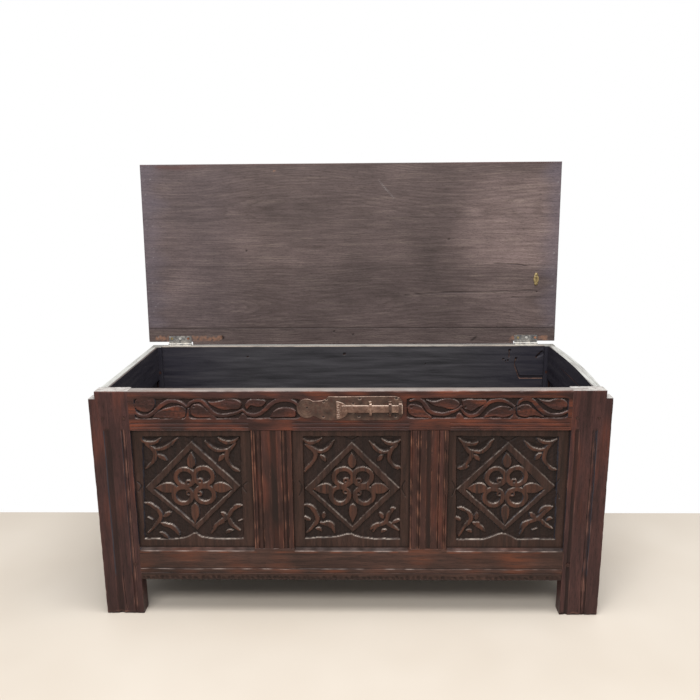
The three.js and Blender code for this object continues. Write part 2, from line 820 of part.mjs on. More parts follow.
function endBottomRail(side) {
  const rail = block(
    sided(side, [end_inner, end_outer]), grown(end_y, -joint_gap), [foot_height, opening_bottom]);
  const tenons = block(sided(side, end_tenon_x), grown(end_y, end_tenon_length), bottom_tenon_z);
  return cut(join([rail, tenons]), [
    block(sided(side, end_groove_x), grown(end_y, cutter_overrun),
      [groove_floor, opening_bottom + cutter_overrun]),
    endMuntinMortise(side, [opening_bottom - end_muntin_tenon_length, opening_bottom + cutter_overrun]),
  ]);
}

function endMuntin(side) {
  const z = [opening_bottom, opening_top];
  const groove_x = sided(side, end_groove_x);
  const groove_z = grown(z, end_muntin_tenon_length);
  const post = block(sided(side, [end_inner, end_outer]), end_muntin_y, grown(z, -joint_gap));
  const tenon = block(
    sided(side, end_tenon_x), grown(end_muntin_y, -tenon_shoulder),
    grown(z, end_muntin_tenon_length - joint_gap));
  return cut(join([post, tenon]), [
    block(groove_x, [end_muntin_y[0] - cutter_overrun, end_muntin_y[0] + groove_depth], groove_z),
    block(groove_x, [end_muntin_y[1] - groove_depth, end_muntin_y[1] + cutter_overrun], groove_z),
  ]);
}

function endPanel(side, y) {
  return block(
    sided(side, grown(end_groove_x, -joint_gap)), grown(y, panel_reach),
    grown([opening_bottom, opening_top], panel_reach));
}

for (const [side_name, side, spread] of [['left', -1, 0], ['right', 1, right_rail_spread]]) {
  place(`${side_name}_end_top_rail`, endTopRail(side, spread), oak_dark);
  place(`${side_name}_end_bottom_rail`, endBottomRail(side), oak_dark);
  place(`${side_name}_end_muntin`, endMuntin(side), oak_dark);
  place(`${side_name}_end_front_panel`, endPanel(side, [end_y[0], end_muntin_y[0]]), oak_panel);
  place(`${side_name}_end_rear_panel`, endPanel(side, [end_muntin_y[1], end_y[1]]), oak_panel);
}

// Back: a deep top rail that carries the hinges, a bottom rail, two muntins and three plain panels
const back_bay = (2 * rear_stile_inner - 2 * back_muntin_width) / 3;
const back_openings = {
  left: [-rear_stile_inner, -back_bay / 2 - back_muntin_width],
  middle: about(0, back_bay),
  right: [back_bay / 2 + back_muntin_width, rear_stile_inner],
};
const back_muntins = {
  left: [-back_bay / 2 - back_muntin_width, -back_bay / 2],
  right: [back_bay / 2, back_bay / 2 + back_muntin_width],
};
const back_rail_x = grown([-rear_stile_inner, rear_stile_inner], -joint_gap);
const hinge_x = rear_stile_inner - hinge_inset - leaf_length / 2;

function backRail(z, tenon_z, cutters) {
  return cut(join([
    cut(block(back_rail_x, [back_inner, case_depth], z), cutters),
    block(sided(-1, back_tenon_x), back_tenon_y, tenon_z),
    block(sided(1, back_tenon_x), back_tenon_y, tenon_z),
  ]), [...backPegHoles(-1), ...backPegHoles(1)]);
}

function backPanelGroove(z) {
  return block(grown(back_rail_x, cutter_overrun), back_groove_y, z);
}

// A leaf's seat runs right across the rail's top edge
const leaf_seats = [-1, 1].map((side) => block(
  grown(about(side * hinge_x, leaf_length), joint_gap),
  grown([back_inner, case_depth], cutter_overrun),
  [case_height - leaf_thickness - joint_gap, case_height + cutter_overrun]));

place('back_top_rail', backRail([back_opening_top, case_height], back_top_tenon_z, [
  backPanelGroove([back_opening_top - cutter_overrun, back_opening_top + groove_depth]),
  ...muntinMortises(back_muntins, back_tenon_y,
    [back_opening_top - cutter_overrun, back_opening_top + muntin_tenon_length]),
  ...leaf_seats,
]), oak_dark);

place('back_bottom_rail', backRail([foot_height, opening_bottom], bottom_tenon_z, [
  backPanelGroove([groove_floor, opening_bottom + cutter_overrun]),
  ...muntinMortises(back_muntins, back_tenon_y,
    [opening_bottom - muntin_tenon_length, opening_bottom + cutter_overrun]),
  block(grown(back_rail_x, cutter_overrun), [back_inner - cutter_overrun, back_inner + floor_groove_depth],
    grown([floor_bottom, floor_top], joint_gap)),
]), oak_dark);

function backMuntin(x) {
  const z = [opening_bottom, back_opening_top];
  const post = block(x, [back_inner, case_depth], grown(z, -joint_gap));
  const groove_z = grown(z, muntin_tenon_length);
  return cut(join([post, muntinTenon(x, back_tenon_y, z)]), [
    block([x[0] - cutter_overrun, x[0] + groove_depth], back_groove_y, groove_z),
    block([x[1] - groove_depth, x[1] + cutter_overrun], back_groove_y, groove_z),
  ]);
}

function backPanel(x) {
  return block(
    grown(x, panel_reach), grown(back_groove_y, -joint_gap),
    grown([opening_bottom, back_opening_top], panel_reach));
}

for (const [side_name, x] of Object.entries(back_muntins)) {
  place(`back_${side_name}_muntin`, backMuntin(x), oak_dark);
}
for (const [side_name, x] of Object.entries(back_openings)) {
  place(`back_${side_name}_panel`, backPanel(x), oak_panel);
}

// Floor boards lie from front to back in the bottom rails' grooves, and the outer two clear the stiles
const floor_x = grown([-end_inner, end_inner], -joint_gap);
const floor_y = [
  front_rail_thickness - floor_groove_depth + joint_gap,
  back_inner + floor_groove_depth - joint_gap,
];
const floor_board_width = (floor_x[1] - floor_x[0]) / floor_board_count;

function floorBoard(index) {
  const left = floor_x[0] + index * floor_board_width;
  const z = [floor_bottom, floor_top];
  const past_z = grown(z, cutter_overrun);
  const stile_spaces = [-1, 1].flatMap((side) => [
    block(sided(side, [stile_inner - joint_gap, half_case]), [0, stile_thickness + joint_gap], past_z),
    block(sided(side, [rear_stile_inner - joint_gap, half_case]),
      [rear_stile_front - joint_gap, case_depth], past_z),
  ]);
  return cut(block(grown([left, left + floor_board_width], -joint_gap / 2), floor_y, z), stile_spaces);
}

for (let index = 0; index < floor_board_count; index += 1) {
  place(`floor_board_${index + 1}`, floorBoard(index), oak_inside);
}

// Pegs, driven from the outside and left a little proud
for (const [side_name, side] of [['left', -1], ['right', 1]]) {
  const front_y = [-peg_proud, stile_thickness - joint_gap];
  const back_y = [rear_stile_front + joint_gap, case_depth + peg_proud];
  const corner_y = [-peg_proud, corner_peg_length];
  const frontPeg = (z) => rodAlongY(peg_radius, side * front_peg_x, front_y, z, peg_sides);
  const backPeg = (z) => rodAlongY(peg_radius, side * back_peg_x, back_y, z, peg_sides);
  const cornerPeg = rodAlongY(corner_peg_radius, side * corner_peg_x, corner_y, top_peg_z, peg_sides);
  place(`front_${side_name}_top_peg`, frontPeg(top_peg_z), oak_peg);
  place(`front_${side_name}_bottom_peg`, frontPeg(bottom_peg_z), oak_peg);
  place(`rear_${side_name}_top_peg`, backPeg(back_top_peg_z), oak_peg);
  place(`rear_${side_name}_bottom_peg`, backPeg(bottom_peg_z), oak_peg);
  place(`${side_name}_corner_peg`, cornerPeg, oak_peg);
}

// Lid: four boards edge to edge, drawn closed about the hinge pin and turned open by their group
const lid = new THREE.Group();
lid.position.set(0, pin_y, pin_z);
lid.rotation.x = -THREE.MathUtils.degToRad(right_angle_degrees + lid_lean_degrees);
coffer.add(lid);

const lid_x = about(lid_shift, lid_width);
const lid_z = [lid_underside, lid_underside + lid_thickness];
const lid_leaf_seats = [-1, 1].map((side) => block(
  grown(about(side * hinge_x, leaf_length), joint_gap),
  [-leaf_width - joint_gap, 0],
  [lid_underside - cutter_overrun, lid_underside + leaf_thickness + joint_gap]));

const lid_boards = [
  ['lid_hinge_board', lid_hinge_board_width],
  ['lid_rear_board', lid_rear_board_width],
  ['lid_middle_board', lid_middle_board_width],
  ['lid_front_board', lid_depth - lid_hinge_board_width - lid_rear_board_width - lid_middle_board_width],
];
let lid_board_edge = lid_edge_gap;
for (const [name, width] of lid_boards) {
  const y = grown([-lid_board_edge - width, -lid_board_edge], -joint_gap / 2);
  place(name, cut(block(lid_x, y, lid_z), lid_leaf_seats), oak_lid, lid);
  lid_board_edge += width;
}

// Butt hinges: two leaves with alternate knuckles on one pin, drawn about the pin's own axis
function hingeLeaf(centre_x, z, first_knuckle) {
  const pitch = leaf_length / knuckle_count;
  const x = about(centre_x, leaf_length);
  const plate = block(x, [-leaf_width, -knuckle_radius - joint_gap], z);
  const knuckles = [];
  for (let index = first_knuckle; index < knuckle_count; index += 2) {
    const start = x[0] + index * pitch;
    const knuckle_x = grown([start, start + pitch], -knuckle_gap / 2);
    knuckles.push(block(knuckle_x, [-knuckle_radius - 2 * joint_gap, 0], z));
    knuckles.push(rodAlongX(knuckle_radius, knuckle_x, 0, 0, knuckle_sides));
  }
  return join([plate, ...knuckles])
    .subtract(rodAlongX(pin_radius + joint_gap, grown(x, cutter_overrun), 0, 0, knuckle_sides));
}

function hingePin(centre_x) {
  const x = grown(about(centre_x, leaf_length), joint_gap);
  return join([
    rodAlongX(pin_radius, x, 0, 0, knuckle_sides),
    rodAlongX(pin_head_radius, [x[0] - pin_head_length, x[0]], 0, 0, knuckle_sides),
    rodAlongX(pin_head_radius, [x[1], x[1] + pin_head_length], 0, 0, knuckle_sides),
  ]);
}

const hinge_line = new THREE.Group();
hinge_line.position.copy(lid.position);
coffer.add(hinge_line);

for (const [side_name, side] of [['left', -1], ['right', 1]]) {
  const case_leaf_z = [-lid_gap / 2 - leaf_thickness, -lid_gap / 2];
  const lid_leaf_z = [lid_underside, lid_underside + leaf_thickness];
  place(`${side_name}_hinge_case_leaf`, hingeLeaf(side * hinge_x, case_leaf_z, 0), hinge_steel, hinge_line);
  place(`${side_name}_hinge_pin`, hingePin(side * hinge_x), hinge_steel, hinge_line);
  place(`${side_name}_hinge_lid_leaf`, hingeLeaf(side * hinge_x, lid_leaf_z, 1), hinge_steel, lid);
}

// Brass stay plate, screwed to the underside of the lid near its right end
function stayPlate() {
  const half_straight = (stay_plate_length - stay_plate_width) / 2;
  const shape = new THREE.Shape();
  shape.absarc(0, half_straight, stay_plate_width / 2, 0, Math.PI, false);
  shape.absarc(0, -half_straight, stay_plate_width / 2, Math.PI, 2 * Math.PI, false);
  const plate_z = [-stay_plate_thickness, 0];
  const boss_z = [-stay_plate_thickness - stay_boss_height, 0];
  const hole_y = stay_plate_length / 2 - stay_hole_inset;
  return cut(join([raised(shape, plate_z), raised(disc(0, 0, stay_boss_radius), boss_z)]), [
    raised(disc(0, hole_y, stay_hole_radius), grown(plate_z, cutter_overrun)),
    raised(disc(0, -hole_y, stay_hole_radius), grown(plate_z, cutter_overrun)),
  ]);
}

place('lid_stay_plate', stayPlate(), old_brass, lid).position.set(
  lid_x[1] - stay_plate_inset, -lid_edge_gap - stay_plate_from_edge, lid_underside - joint_gap);

// Lock plate: a rectangle with one corner clipped, and a round lobe on a cusped neck
const plate_right = plate_left + plate_length;
const plate_z = [case_height - plate_drop - plate_height, case_height - plate_drop];
const plate_y = [-joint_gap - plate_thickness, -joint_gap];
const bolt_line = middle(plate_z);

function lockPlate() {
  const lobe_x = plate_left - lobe_offset;
  const neck_right = plate_left + joint_gap;
  const neck = new THREE.Shape();
  neck.moveTo(neck_right, plate_z[0]);
  neck.lineTo(neck_right, plate_z[1]);
  neck.quadraticCurveTo(plate_left, bolt_line + neck_half_height, lobe_x, bolt_line + neck_half_height);
  neck.lineTo(lobe_x, bolt_line - neck_half_height);
  neck.quadraticCurveTo(plate_left, bolt_line - neck_half_height, neck_right, plate_z[0]);
  const body = outline([
    [plate_left, plate_z[0]], [plate_right, plate_z[0]], [plate_right, plate_z[1] - plate_corner_cut],
    [plate_right - plate_corner_cut, plate_z[1]], [plate_left, plate_z[1]],
  ]);
  const lobe = rodAlongY(lobe_radius, lobe_x, plate_y, bolt_line, lobe_sides);
  const hole = rodAlongY(lobe_hole_radius, lobe_x, grown(plate_y, cutter_overrun), bolt_line, peg_sides);
  return join([frontal(body, plate_y), frontal(neck, plate_y), lobe]).subtract(hole);
}

place('lock_plate', lockPlate(), old_iron);

// Bolt: a flat bar with an axe-shaped thumb piece, thrown to the right into its keeper
const bolt_right = plate_right - keeper_end_thickness - joint_gap;
const bolt_left = bolt_right - bolt_length;
const bolt_back = plate_y[0] - joint_gap;
const bolt_y = [bolt_back - bolt_thickness, bolt_back];
const bolt_z = about(bolt_line, bolt_height);

function bolt() {
  const fan_x = [bolt_left, bolt_left + fan_length];
  const fan = new THREE.Shape();
  fan.moveTo(fan_x[0], bolt_line - fan_drop);
  fan.lineTo(middle(fan_x), bolt_line - fan_drop);
  fan.quadraticCurveTo(fan_x[1], bolt_z[0], fan_x[1], bolt_line);
  fan.lineTo(fan_x[1], bolt_z[1]);
  fan.quadraticCurveTo(middle(fan_x), bolt_z[1], fan_x[0], bolt_line + fan_rise);
  return join([
    block([middle(fan_x), bolt_right], bolt_y, bolt_z),
    frontal(fan, [bolt_back - fan_thickness, bolt_back]),
  ]);
}

place('lock_bolt', bolt(), old_iron);

// The straps that hold the bolt to its plate: feet above and below, and a bridge across the bolt
function strap(centre_x, width) {
  const under = bolt_y[0] - joint_gap;
  const inner_z = grown(bolt_z, joint_gap);
  const outer_z = grown(inner_z, strap_thickness);
  const foot_z = grown(inner_z, strap_foot);
  const foot_front = bolt_back - strap_thickness;
  const section = outline([
    [bolt_back, foot_z[0]], [foot_front, foot_z[0]], [foot_front, outer_z[0]],
    [under - strap_thickness, outer_z[0]], [under - strap_thickness, outer_z[1]],
    [foot_front, outer_z[1]], [foot_front, foot_z[1]], [bolt_back, foot_z[1]],
    [bolt_back, inner_z[1]], [under, inner_z[1]], [under, inner_z[0]], [bolt_back, inner_z[0]],
  ].reverse());
  return lengthwise(section, about(centre_x, width));
}

place('lock_first_strap', strap(plate_right - first_strap_inset, strap_width), old_iron);
place('lock_second_strap', strap(plate_right - second_strap_inset, strap_width), old_iron);

// Keeper: a strap closed at its outer end, which stops the thrown bolt
function keeper() {
  const closed_end = block(
    [plate_right - keeper_end_thickness, plate_right],
    [bolt_y[0] - joint_gap - strap_thickness / 2, bolt_back],
    grown(bolt_z, strap_thickness / 2));
  return join([strap(plate_right - keeper_width / 2, keeper_width), closed_end]);
}

place('lock_keeper', keeper(), old_iron);

// The whole stands on the middle of its own footprint
const lean = THREE.MathUtils.degToRad(lid_lean_degrees);
const lid_far_edge = lid_edge_gap + lid_depth;
const back_limit = pin_y + lid_far_edge * Math.sin(lean) + lid_z[1] * Math.cos(lean);
const front_limit = bolt_y[0] - joint_gap - strap_thickness;
coffer.position.y = -(front_limit + back_limit) / 2;

export default coffer;
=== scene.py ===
# %% [markdown]
# # A joined oak coffer, dressed in Blender
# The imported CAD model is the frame: it gives every piece its place. The script sets up the camera and
# light, makes the materials, carves the front in dense height fields, then adds boards, iron and marks.

# %%
import math
import re

import bmesh
import bpy
import numpy as np
from mathutils import Matrix, Vector


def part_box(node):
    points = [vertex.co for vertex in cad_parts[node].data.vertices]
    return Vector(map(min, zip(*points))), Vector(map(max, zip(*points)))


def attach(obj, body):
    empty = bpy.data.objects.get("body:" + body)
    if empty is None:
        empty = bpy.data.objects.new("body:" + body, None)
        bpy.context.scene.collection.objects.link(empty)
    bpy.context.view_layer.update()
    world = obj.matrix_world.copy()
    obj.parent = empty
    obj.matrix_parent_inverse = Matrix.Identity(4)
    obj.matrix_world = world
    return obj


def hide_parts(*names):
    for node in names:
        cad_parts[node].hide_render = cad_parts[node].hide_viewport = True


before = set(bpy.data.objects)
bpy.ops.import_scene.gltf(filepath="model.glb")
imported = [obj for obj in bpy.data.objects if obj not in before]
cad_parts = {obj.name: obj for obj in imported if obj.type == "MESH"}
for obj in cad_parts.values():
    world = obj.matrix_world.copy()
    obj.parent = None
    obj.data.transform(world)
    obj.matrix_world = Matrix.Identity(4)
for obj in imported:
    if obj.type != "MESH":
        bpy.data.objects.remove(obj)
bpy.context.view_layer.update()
MM = 0.001
front_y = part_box("front_left_stile")[0].y / MM
print("front plane at", round(front_y, 2), "mm, nodes", len(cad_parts))

# %% [markdown]
# ## Camera, light and floor
# The camera was fitted to the corners of the case and lid. Rotations are about the world's axes. The
# world is dim for the wood and bright for the camera and for reflections, which keeps the wall white.

# %%
CAMERA_PLACE = (36.4, front_y - 1593.4, 1035.5)
CAMERA_PITCH, CAMERA_YAW, CAMERA_ROLL = 0.2313, 0.0207, 0.0077
SENSOR, FOCAL_PIXELS, PICTURE_PIXELS = 36, 736, 700
WORLD_LIGHT = 0.3

camera = bpy.data.objects.new("camera", bpy.data.cameras.new("camera"))
bpy.context.scene.collection.objects.link(camera)
bpy.context.scene.camera = camera
camera.data.sensor_width = SENSOR
camera.data.lens = SENSOR * FOCAL_PIXELS / PICTURE_PIXELS
camera.data.clip_start = 0.05
camera.matrix_world = Matrix.Translation(Vector(CAMERA_PLACE) * MM)
for angle, axis in ((CAMERA_YAW, "Z"), (-CAMERA_PITCH, "X"), (CAMERA_ROLL, "Y"), (math.pi / 2, "X")):
    camera.matrix_world = camera.matrix_world @ Matrix.Rotation(angle, 4, axis)

world = bpy.data.worlds.new("studio")
world.use_nodes = True
nodes, wire = world.node_tree.nodes, world.node_tree.links.new
background = nodes["Background"]
background.inputs["Color"].default_value = (1, 1, 1, 1)
paths, seen, level = (nodes.new("ShaderNode" + kind) for kind in ("LightPath", "Math", "MapRange"))
seen.operation = "MAXIMUM"
level.inputs["To Min"].default_value = WORLD_LIGHT
wire(paths.outputs["Is Camera Ray"], seen.inputs[0])
wire(paths.outputs["Is Glossy Ray"], seen.inputs[1])
wire(seen.outputs[0], level.inputs["Value"])
wire(level.outputs[0], background.inputs["Strength"])
bpy.context.scene.world = world
bpy.context.scene.view_settings.view_transform = "Standard"


def area_light(name, place, target, size, watts):
    light = bpy.data.lights.new(name, "AREA")
    light.shape = "RECTANGLE"
    light.size, light.size_y = size
    light.energy = watts
    holder = bpy.data.objects.new(name, light)
    bpy.context.scene.collection.objects.link(holder)
    holder.location = place
    aim = Vector(target) - Vector(place)
    holder.rotation_euler = aim.to_track_quat("-Z", "Y").to_euler()


area_light("window", (-0.5, -2.6, 2.8), (0, 0, 0.4), (2.6, 1.0), 74)
area_light("ceiling", (0.3, -0.7, 3.2), (0, 0, 0.3), (2.4, 1.2), 88)


# %%
def linear(code):
    """An sRGB hex colour as the linear RGBA a shader wants."""
    parts = [int(code[i : i + 2], 16) / 255 for i in (0, 2, 4)]
    return tuple(c / 12.92 if c < 0.04045 else ((c + 0.055) / 1.055) ** 2.4 for c in parts) + (1.0,)


class Tree:
    """One material's nodes, added a line at a time."""

    def __init__(self, name):
        self.material = bpy.data.materials.new(name)
        self.material.use_nodes = True
        self.nodes = self.material.node_tree.nodes
        self.nodes.clear()

    def add(self, kind, inputs, **settings):
        node = self.nodes.new("ShaderNode" + kind)
        for key, value in settings.items():
            setattr(node, key, value)
        for key, value in inputs.items():
            if isinstance(value, bpy.types.NodeSocket):
                self.material.node_tree.links.new(value, node.inputs[key])
            else:
                node.inputs[key].default_value = value
        return node

    def place(self):
        return self.add("TexCoord", {}).outputs["Object"]

    def coords(self, scale=(1, 1, 1), shift=(0, 0, 0)):
        values = {"Vector": self.place(), "Scale": scale, "Location": shift}
        return self.add("Mapping", values).outputs[0]

    def normal(self):
        return self.add("NewGeometry", {}).outputs["True Normal"]

    def axes(self, vector):
        return self.add("SeparateXYZ", {"Vector": vector}).outputs

    def attribute(self, name):
        return self.add("Attribute", {}, attribute_name=name).outputs["Fac"]

    def noise(self, vector, scale, detail=4, roughness=0.55, distortion=0.0):
        return self.add("TexNoise", {"Vector": vector, "Scale": scale, "Detail": detail,
                                     "Roughness": roughness, "Distortion": distortion}).outputs[0]

    def ramp(self, value, stops):
        node = self.add("ValToRGB", {"Fac": value})
        elements = node.color_ramp.elements
        while len(elements) < len(stops):
            elements.new(0.5)
        for element, (place, colour) in zip(elements, stops):
            element.position, element.color = place, colour
        return node.outputs[0]

    def grey(self, value, stops):
        return self.ramp(value, [(place, (level, level, level, 1)) for place, level in stops])

    def tones(self, value, codes, places=(0.3, 0.5, 0.68)):
        return self.ramp(value, list(zip(places, map(linear, codes))))

    def patches(self, vector, stops, *noise):
        """Noise with its soft middle taken out, which leaves patches."""
        return self.grey(self.noise(vector, *noise), stops)

    def math(self, operation, a, b=0.0, clamp=True):
        return self.add("Math", {0: a, 1: b}, operation=operation, use_clamp=clamp).outputs[0]

    def times(self, first, *others):
        for other in others:
            first = self.math("MULTIPLY", first, other)
        return first

    def mix(self, factor, a, b, blend="MIX"):
        return self.add("Mix", {0: factor, 6: a, 7: b}, data_type="RGBA", blend_type=blend).outputs[2]

    def tint(self, factor, colour, code):
        return self.mix(factor, colour, linear(code))

    def shade(self, factor, colour, grey):
        return self.mix(factor, colour, grey, "MULTIPLY")

    def finish(self, colour, roughness, height=None, strength=0.4, distance=0.001, **shader):
        inputs = {"Base Color": colour, "Roughness": roughness}
        inputs.update({key.replace("_", " "): value for key, value in shader.items()})
        if height is not None:
            bump = {"Height": height, "Strength": strength, "Distance": distance}
            inputs["Normal"] = self.add("Bump", bump).outputs[0]
        self.add("OutputMaterial", {"Surface": self.add("BsdfPrincipled", inputs).outputs[0]})
        return self.material


FLOOR_SIZE, FLOOR_END = 14, front_y + 556
floor_tree = Tree("pale_floor")
clouds = floor_tree.noise(floor_tree.coords(), 3, 2)
pale_floor = floor_tree.finish(floor_tree.tones(clouds, ("cfc4b6", "d6ccbf"), (0.3, 0.7)), 0.6)
bpy.ops.mesh.primitive_plane_add(size=FLOOR_SIZE, location=(0, FLOOR_END * MM - FLOOR_SIZE / 2, 0))
floor = bpy.context.object
floor.name = "floor_plane"
floor.data.materials.append(pale_floor)
print("camera, two lights and a floor")

# %% [markdown]
# ## Oak
# Long streaks and pores run along the grain. Boards made below carry vertex attributes: one for rubbed
# arrises that also paints highlights on slopes that face up, one for painted shade in cuts, hollows and
# holes that also darkens joints and marks, "red" where the polish is warm and "raw" where bare wood
# shows. The colour and gloss follow them. Top faces are painted pale, partly from rubbing and partly as
# a painted sheen of the light from above. Sawn oak also shows its growth rings, and inside faces are smoky.

# %%
GRAIN = {"X": (1, 14, 14), "Y": (14, 1, 14), "Z": (14, 14, 1)}


def growth_rings(tree, colour, long, dark):
    """Dark lines where the rings come to the face, with the plank's tone, which holds some painted shade,
    and a cooler cast.
    """
    ragged = tree.math("MULTIPLY", tree.noise(long, 16, 4, 0.6), 0.9, clamp=False)
    count = tree.math("ADD", tree.attribute("ring"), ragged, clamp=False)
    line = tree.grey(tree.math("FRACT", count, clamp=False),
                     [(0, 0.25), (0.1, 1), (0.34, 0.55), (0.7, 0), (0.95, 0)])
    dashes = tree.patches(long, [(0.36, 0.2), (0.6, 1)], 30, 5, 0.7)
    colour = tree.mix(tree.times(line, dashes, 0.9), colour, dark)
    tone = tree.grey(tree.attribute("tone"), [(0, 0.7), (0.5, 0.95), (1, 1.7)])
    return tree.tint(tree.times(tree.attribute("cool"), 0.55), tree.shade(1.0, colour, tone), "5d5660")


def smoke(tree, colour, streaks):
    """Faces that look into the chest are grey, darker toward the ends. The feet below are left out."""
    normal, spot = tree.axes(tree.normal()), tree.axes(tree.place())
    from_middle = tree.math("ABSOLUTE", spot["X"], clamp=False)
    inward_x = tree.math("MULTIPLY", spot["X"], normal["X"], clamp=False)
    inward_y = tree.math("MULTIPLY", spot["Y"], normal["Y"], clamp=False)
    between_ends = tree.grey(from_middle, [(0.562, 1), (0.563, 0)])
    inward_y = tree.math("MULTIPLY", inward_y, between_ends, clamp=False)
    outward = tree.math("ADD", inward_x, inward_y, clamp=False)
    inward = tree.grey(tree.times(outward, -4.0), [(0.62, 0), (0.74, 1)])
    above_feet = tree.grey(spot["Z"], [(0.1, 0), (0.11, 1)])
    smoky = tree.tones(streaks, ("2f2e30", "3f3d40", "4c4a4d"))
    dusky = tree.tones(streaks, ("24222a", "2f2d34", "3b383d"))
    stain = tree.mix(tree.grey(from_middle, [(0.3, 0), (0.5, 1)]), smoky, dusky)
    return tree.mix(tree.times(inward, above_feet), colour, stain)


def rubbed_and_lit_top(tree, colour, long, grain, wear_and_sheen, tone):
    """The top faces, painted pale: partly bare from the rubbing of hands and the lid, partly a painted
    sheen of the light from above.
    """
    up = tree.grey(tree.axes(tree.normal())["Z"], [(0.8, 0), (0.95, 1)])
    patches = tree.patches(long, [(0.32, 0.3), (0.54, 1)], 6, 7, 0.75)
    spot = tree.axes(tree.coords())
    high = tree.grey(spot["Z"], [(0.538, 0), (0.541, 1)])
    top = tree.times(tree.times(up, patches), tree.times(high, wear_and_sheen))
    # On the end rails the painted sheen is kept off the inner strip of the top, which stays dark like the
    # shaded inside.
    if grain == "Y":
        from_middle = tree.math("ABSOLUTE", spot["X"])
        top = tree.times(top, tree.grey(from_middle, [(0.5585, 0.1), (0.5625, 1)]))
    return tree.tint(top, colour, tone)


def oak(name, tones, grain, scale=1.0, gloss=0.42, bump=0.35, rings=False, top_wear_and_sheen=0.0, dust=0.0,
        worn_tone="b9a899", top_tone="b3aaa2", deep_tone="1b1512", red_tone="6b3a2d", inner=True,
        shift=(0, 0, 0)):
    tree = Tree(name)
    long, plain = tree.coords(GRAIN[grain], shift), tree.coords(shift=shift)
    streaks = tree.noise(long, 5.5 * scale, 9, 0.62, 0.35)
    fine = tree.noise(long, 34 * scale, 4, 0.6, 0.1)
    pores = tree.patches(long, [(0.54, 0), (0.64, 1)], 62 * scale, 3, 0.6)
    colour = tree.tones(streaks, tones)
    if rings:
        colour = growth_rings(tree, colour, long, linear(tones[0]))
    colour = tree.tint(tree.times(pores, 0.55), colour, deep_tone)
    colour = tree.shade(
        1.0, colour, tree.patches(plain, [(0.25, 0.66), (0.5, 0.95), (0.75, 1.22)], 4.5, 4, 0.6))
    colour = tree.shade(0.5, colour, tree.grey(fine, [(0.3, 0.72), (0.7, 1.2)]))
    deep, worn = tree.attribute("deep"), tree.attribute("worn")
    polish = tree.patches(long, [(0.4, 0.05), (0.6, 1)], 7, 9, 0.75, 0.3)
    colour = tree.tint(tree.times(tree.attribute("red"), polish), colour, red_tone)
    # Painted shade: cuts, hollows and holes are darkened, along with dark joints and marks.
    colour = tree.tint(tree.times(deep, 0.78), colour, deep_tone)
    crumbs = tree.patches(plain, [(0.36, 0), (0.55, 1)], 60, 5, 0.75)
    colour = tree.tint(tree.times(tree.attribute("raw"), crumbs), colour, "8a6754")
    if inner:
        colour = smoke(tree, colour, streaks)
    # The pale tone over arrises is rubbing and also painted highlights on slopes that face up.
    wear_and_glint_patches = tree.patches(plain, [(0.34, 0.25), (0.56, 1)], 26, 5, 0.7)
    colour = tree.tint(tree.times(worn, wear_and_glint_patches), colour, worn_tone)
    if top_wear_and_sheen:
        colour = rubbed_and_lit_top(tree, colour, long, grain, top_wear_and_sheen, top_tone)
    if dust:
        film = tree.patches(plain, [(0.35, 0), (0.7, 1)], 2.2 * scale, 2)
        colour = tree.tint(tree.times(film, dust), colour, "8d8378")
    rough = tree.grey(streaks, [(0.3, gloss - 0.1), (0.7, gloss + 0.14)])
    rough = tree.mix(tree.times(deep, 0.8), rough, (0.85, 0.85, 0.85, 1))
    solid = tree.mix(1.0, pores, (1, 1, 1, 1), "DIFFERENCE")
    height = tree.mix(0.5, tree.mix(0.6, fine, streaks), solid)
    return tree.finish(colour, rough, height, bump, 0.0007, Specular_IOR_Level=0.2)


CASE_TONES = ("241715", "382420", "4b302b")
OAK = {
    "stile": oak("oak_stile", ("31201f", "442c2a", "543632"), "Z", gloss=0.4, top_wear_and_sheen=0.95,
                 worn_tone="93685a", top_tone="b3afaa"),
    "rail": oak("oak_rail", ("281815", "3a2420", "4a2e2a"), "X", gloss=0.36, top_wear_and_sheen=0.62,
                worn_tone="97857f", top_tone="a09b95", red_tone="6e3b2a"),
    "foot_rail": oak("oak_foot_rail", ("2d1f1b", "412d27", "523a32"), "X", gloss=0.36,
                     worn_tone="a3938c", red_tone="74402b"),
    "panel": oak("oak_panel", ("211714", "33241f", "43302a"), "Z", 1.3, gloss=0.4,
                 worn_tone="cfc0b4", deep_tone="17110f", red_tone="573629"),
    "muntin": oak("oak_muntin", ("2b1a17", "3c2621", "4b2f2a"), "Z", 1.2, gloss=0.36,
                  worn_tone="9a6a55", red_tone="68382a"),
    "case": oak("oak_case", CASE_TONES, "X", gloss=0.5, top_wear_and_sheen=0.6, top_tone="a3a39d"),
    "case_post": oak("oak_case_post", CASE_TONES, "Z", gloss=0.5, top_wear_and_sheen=0.7, top_tone="a3a39d"),
    "case_end": oak("oak_case_end", CASE_TONES, "Y", gloss=0.5, top_wear_and_sheen=1.0, top_tone="b8b8b3"),
    "floor": oak("oak_floor", ("232326", "323134", "403e40"), "Y", gloss=0.7, dust=0.25, inner=False),
    "peg": oak("oak_peg", ("2c1c18", "402924", "543a32"), "Y", 3, gloss=0.5, inner=False),
    "lid": oak("oak_lid", ("4e423f", "605250", "6e605b"), "X", 1.9, rings=True, gloss=0.5, bump=0.4,
               worn_tone="8b8686", deep_tone="1f1917", red_tone="5a3c38", inner=False,
               shift=(0.37, 0, 0.21)),
}
print("oak:", ", ".join(OAK))
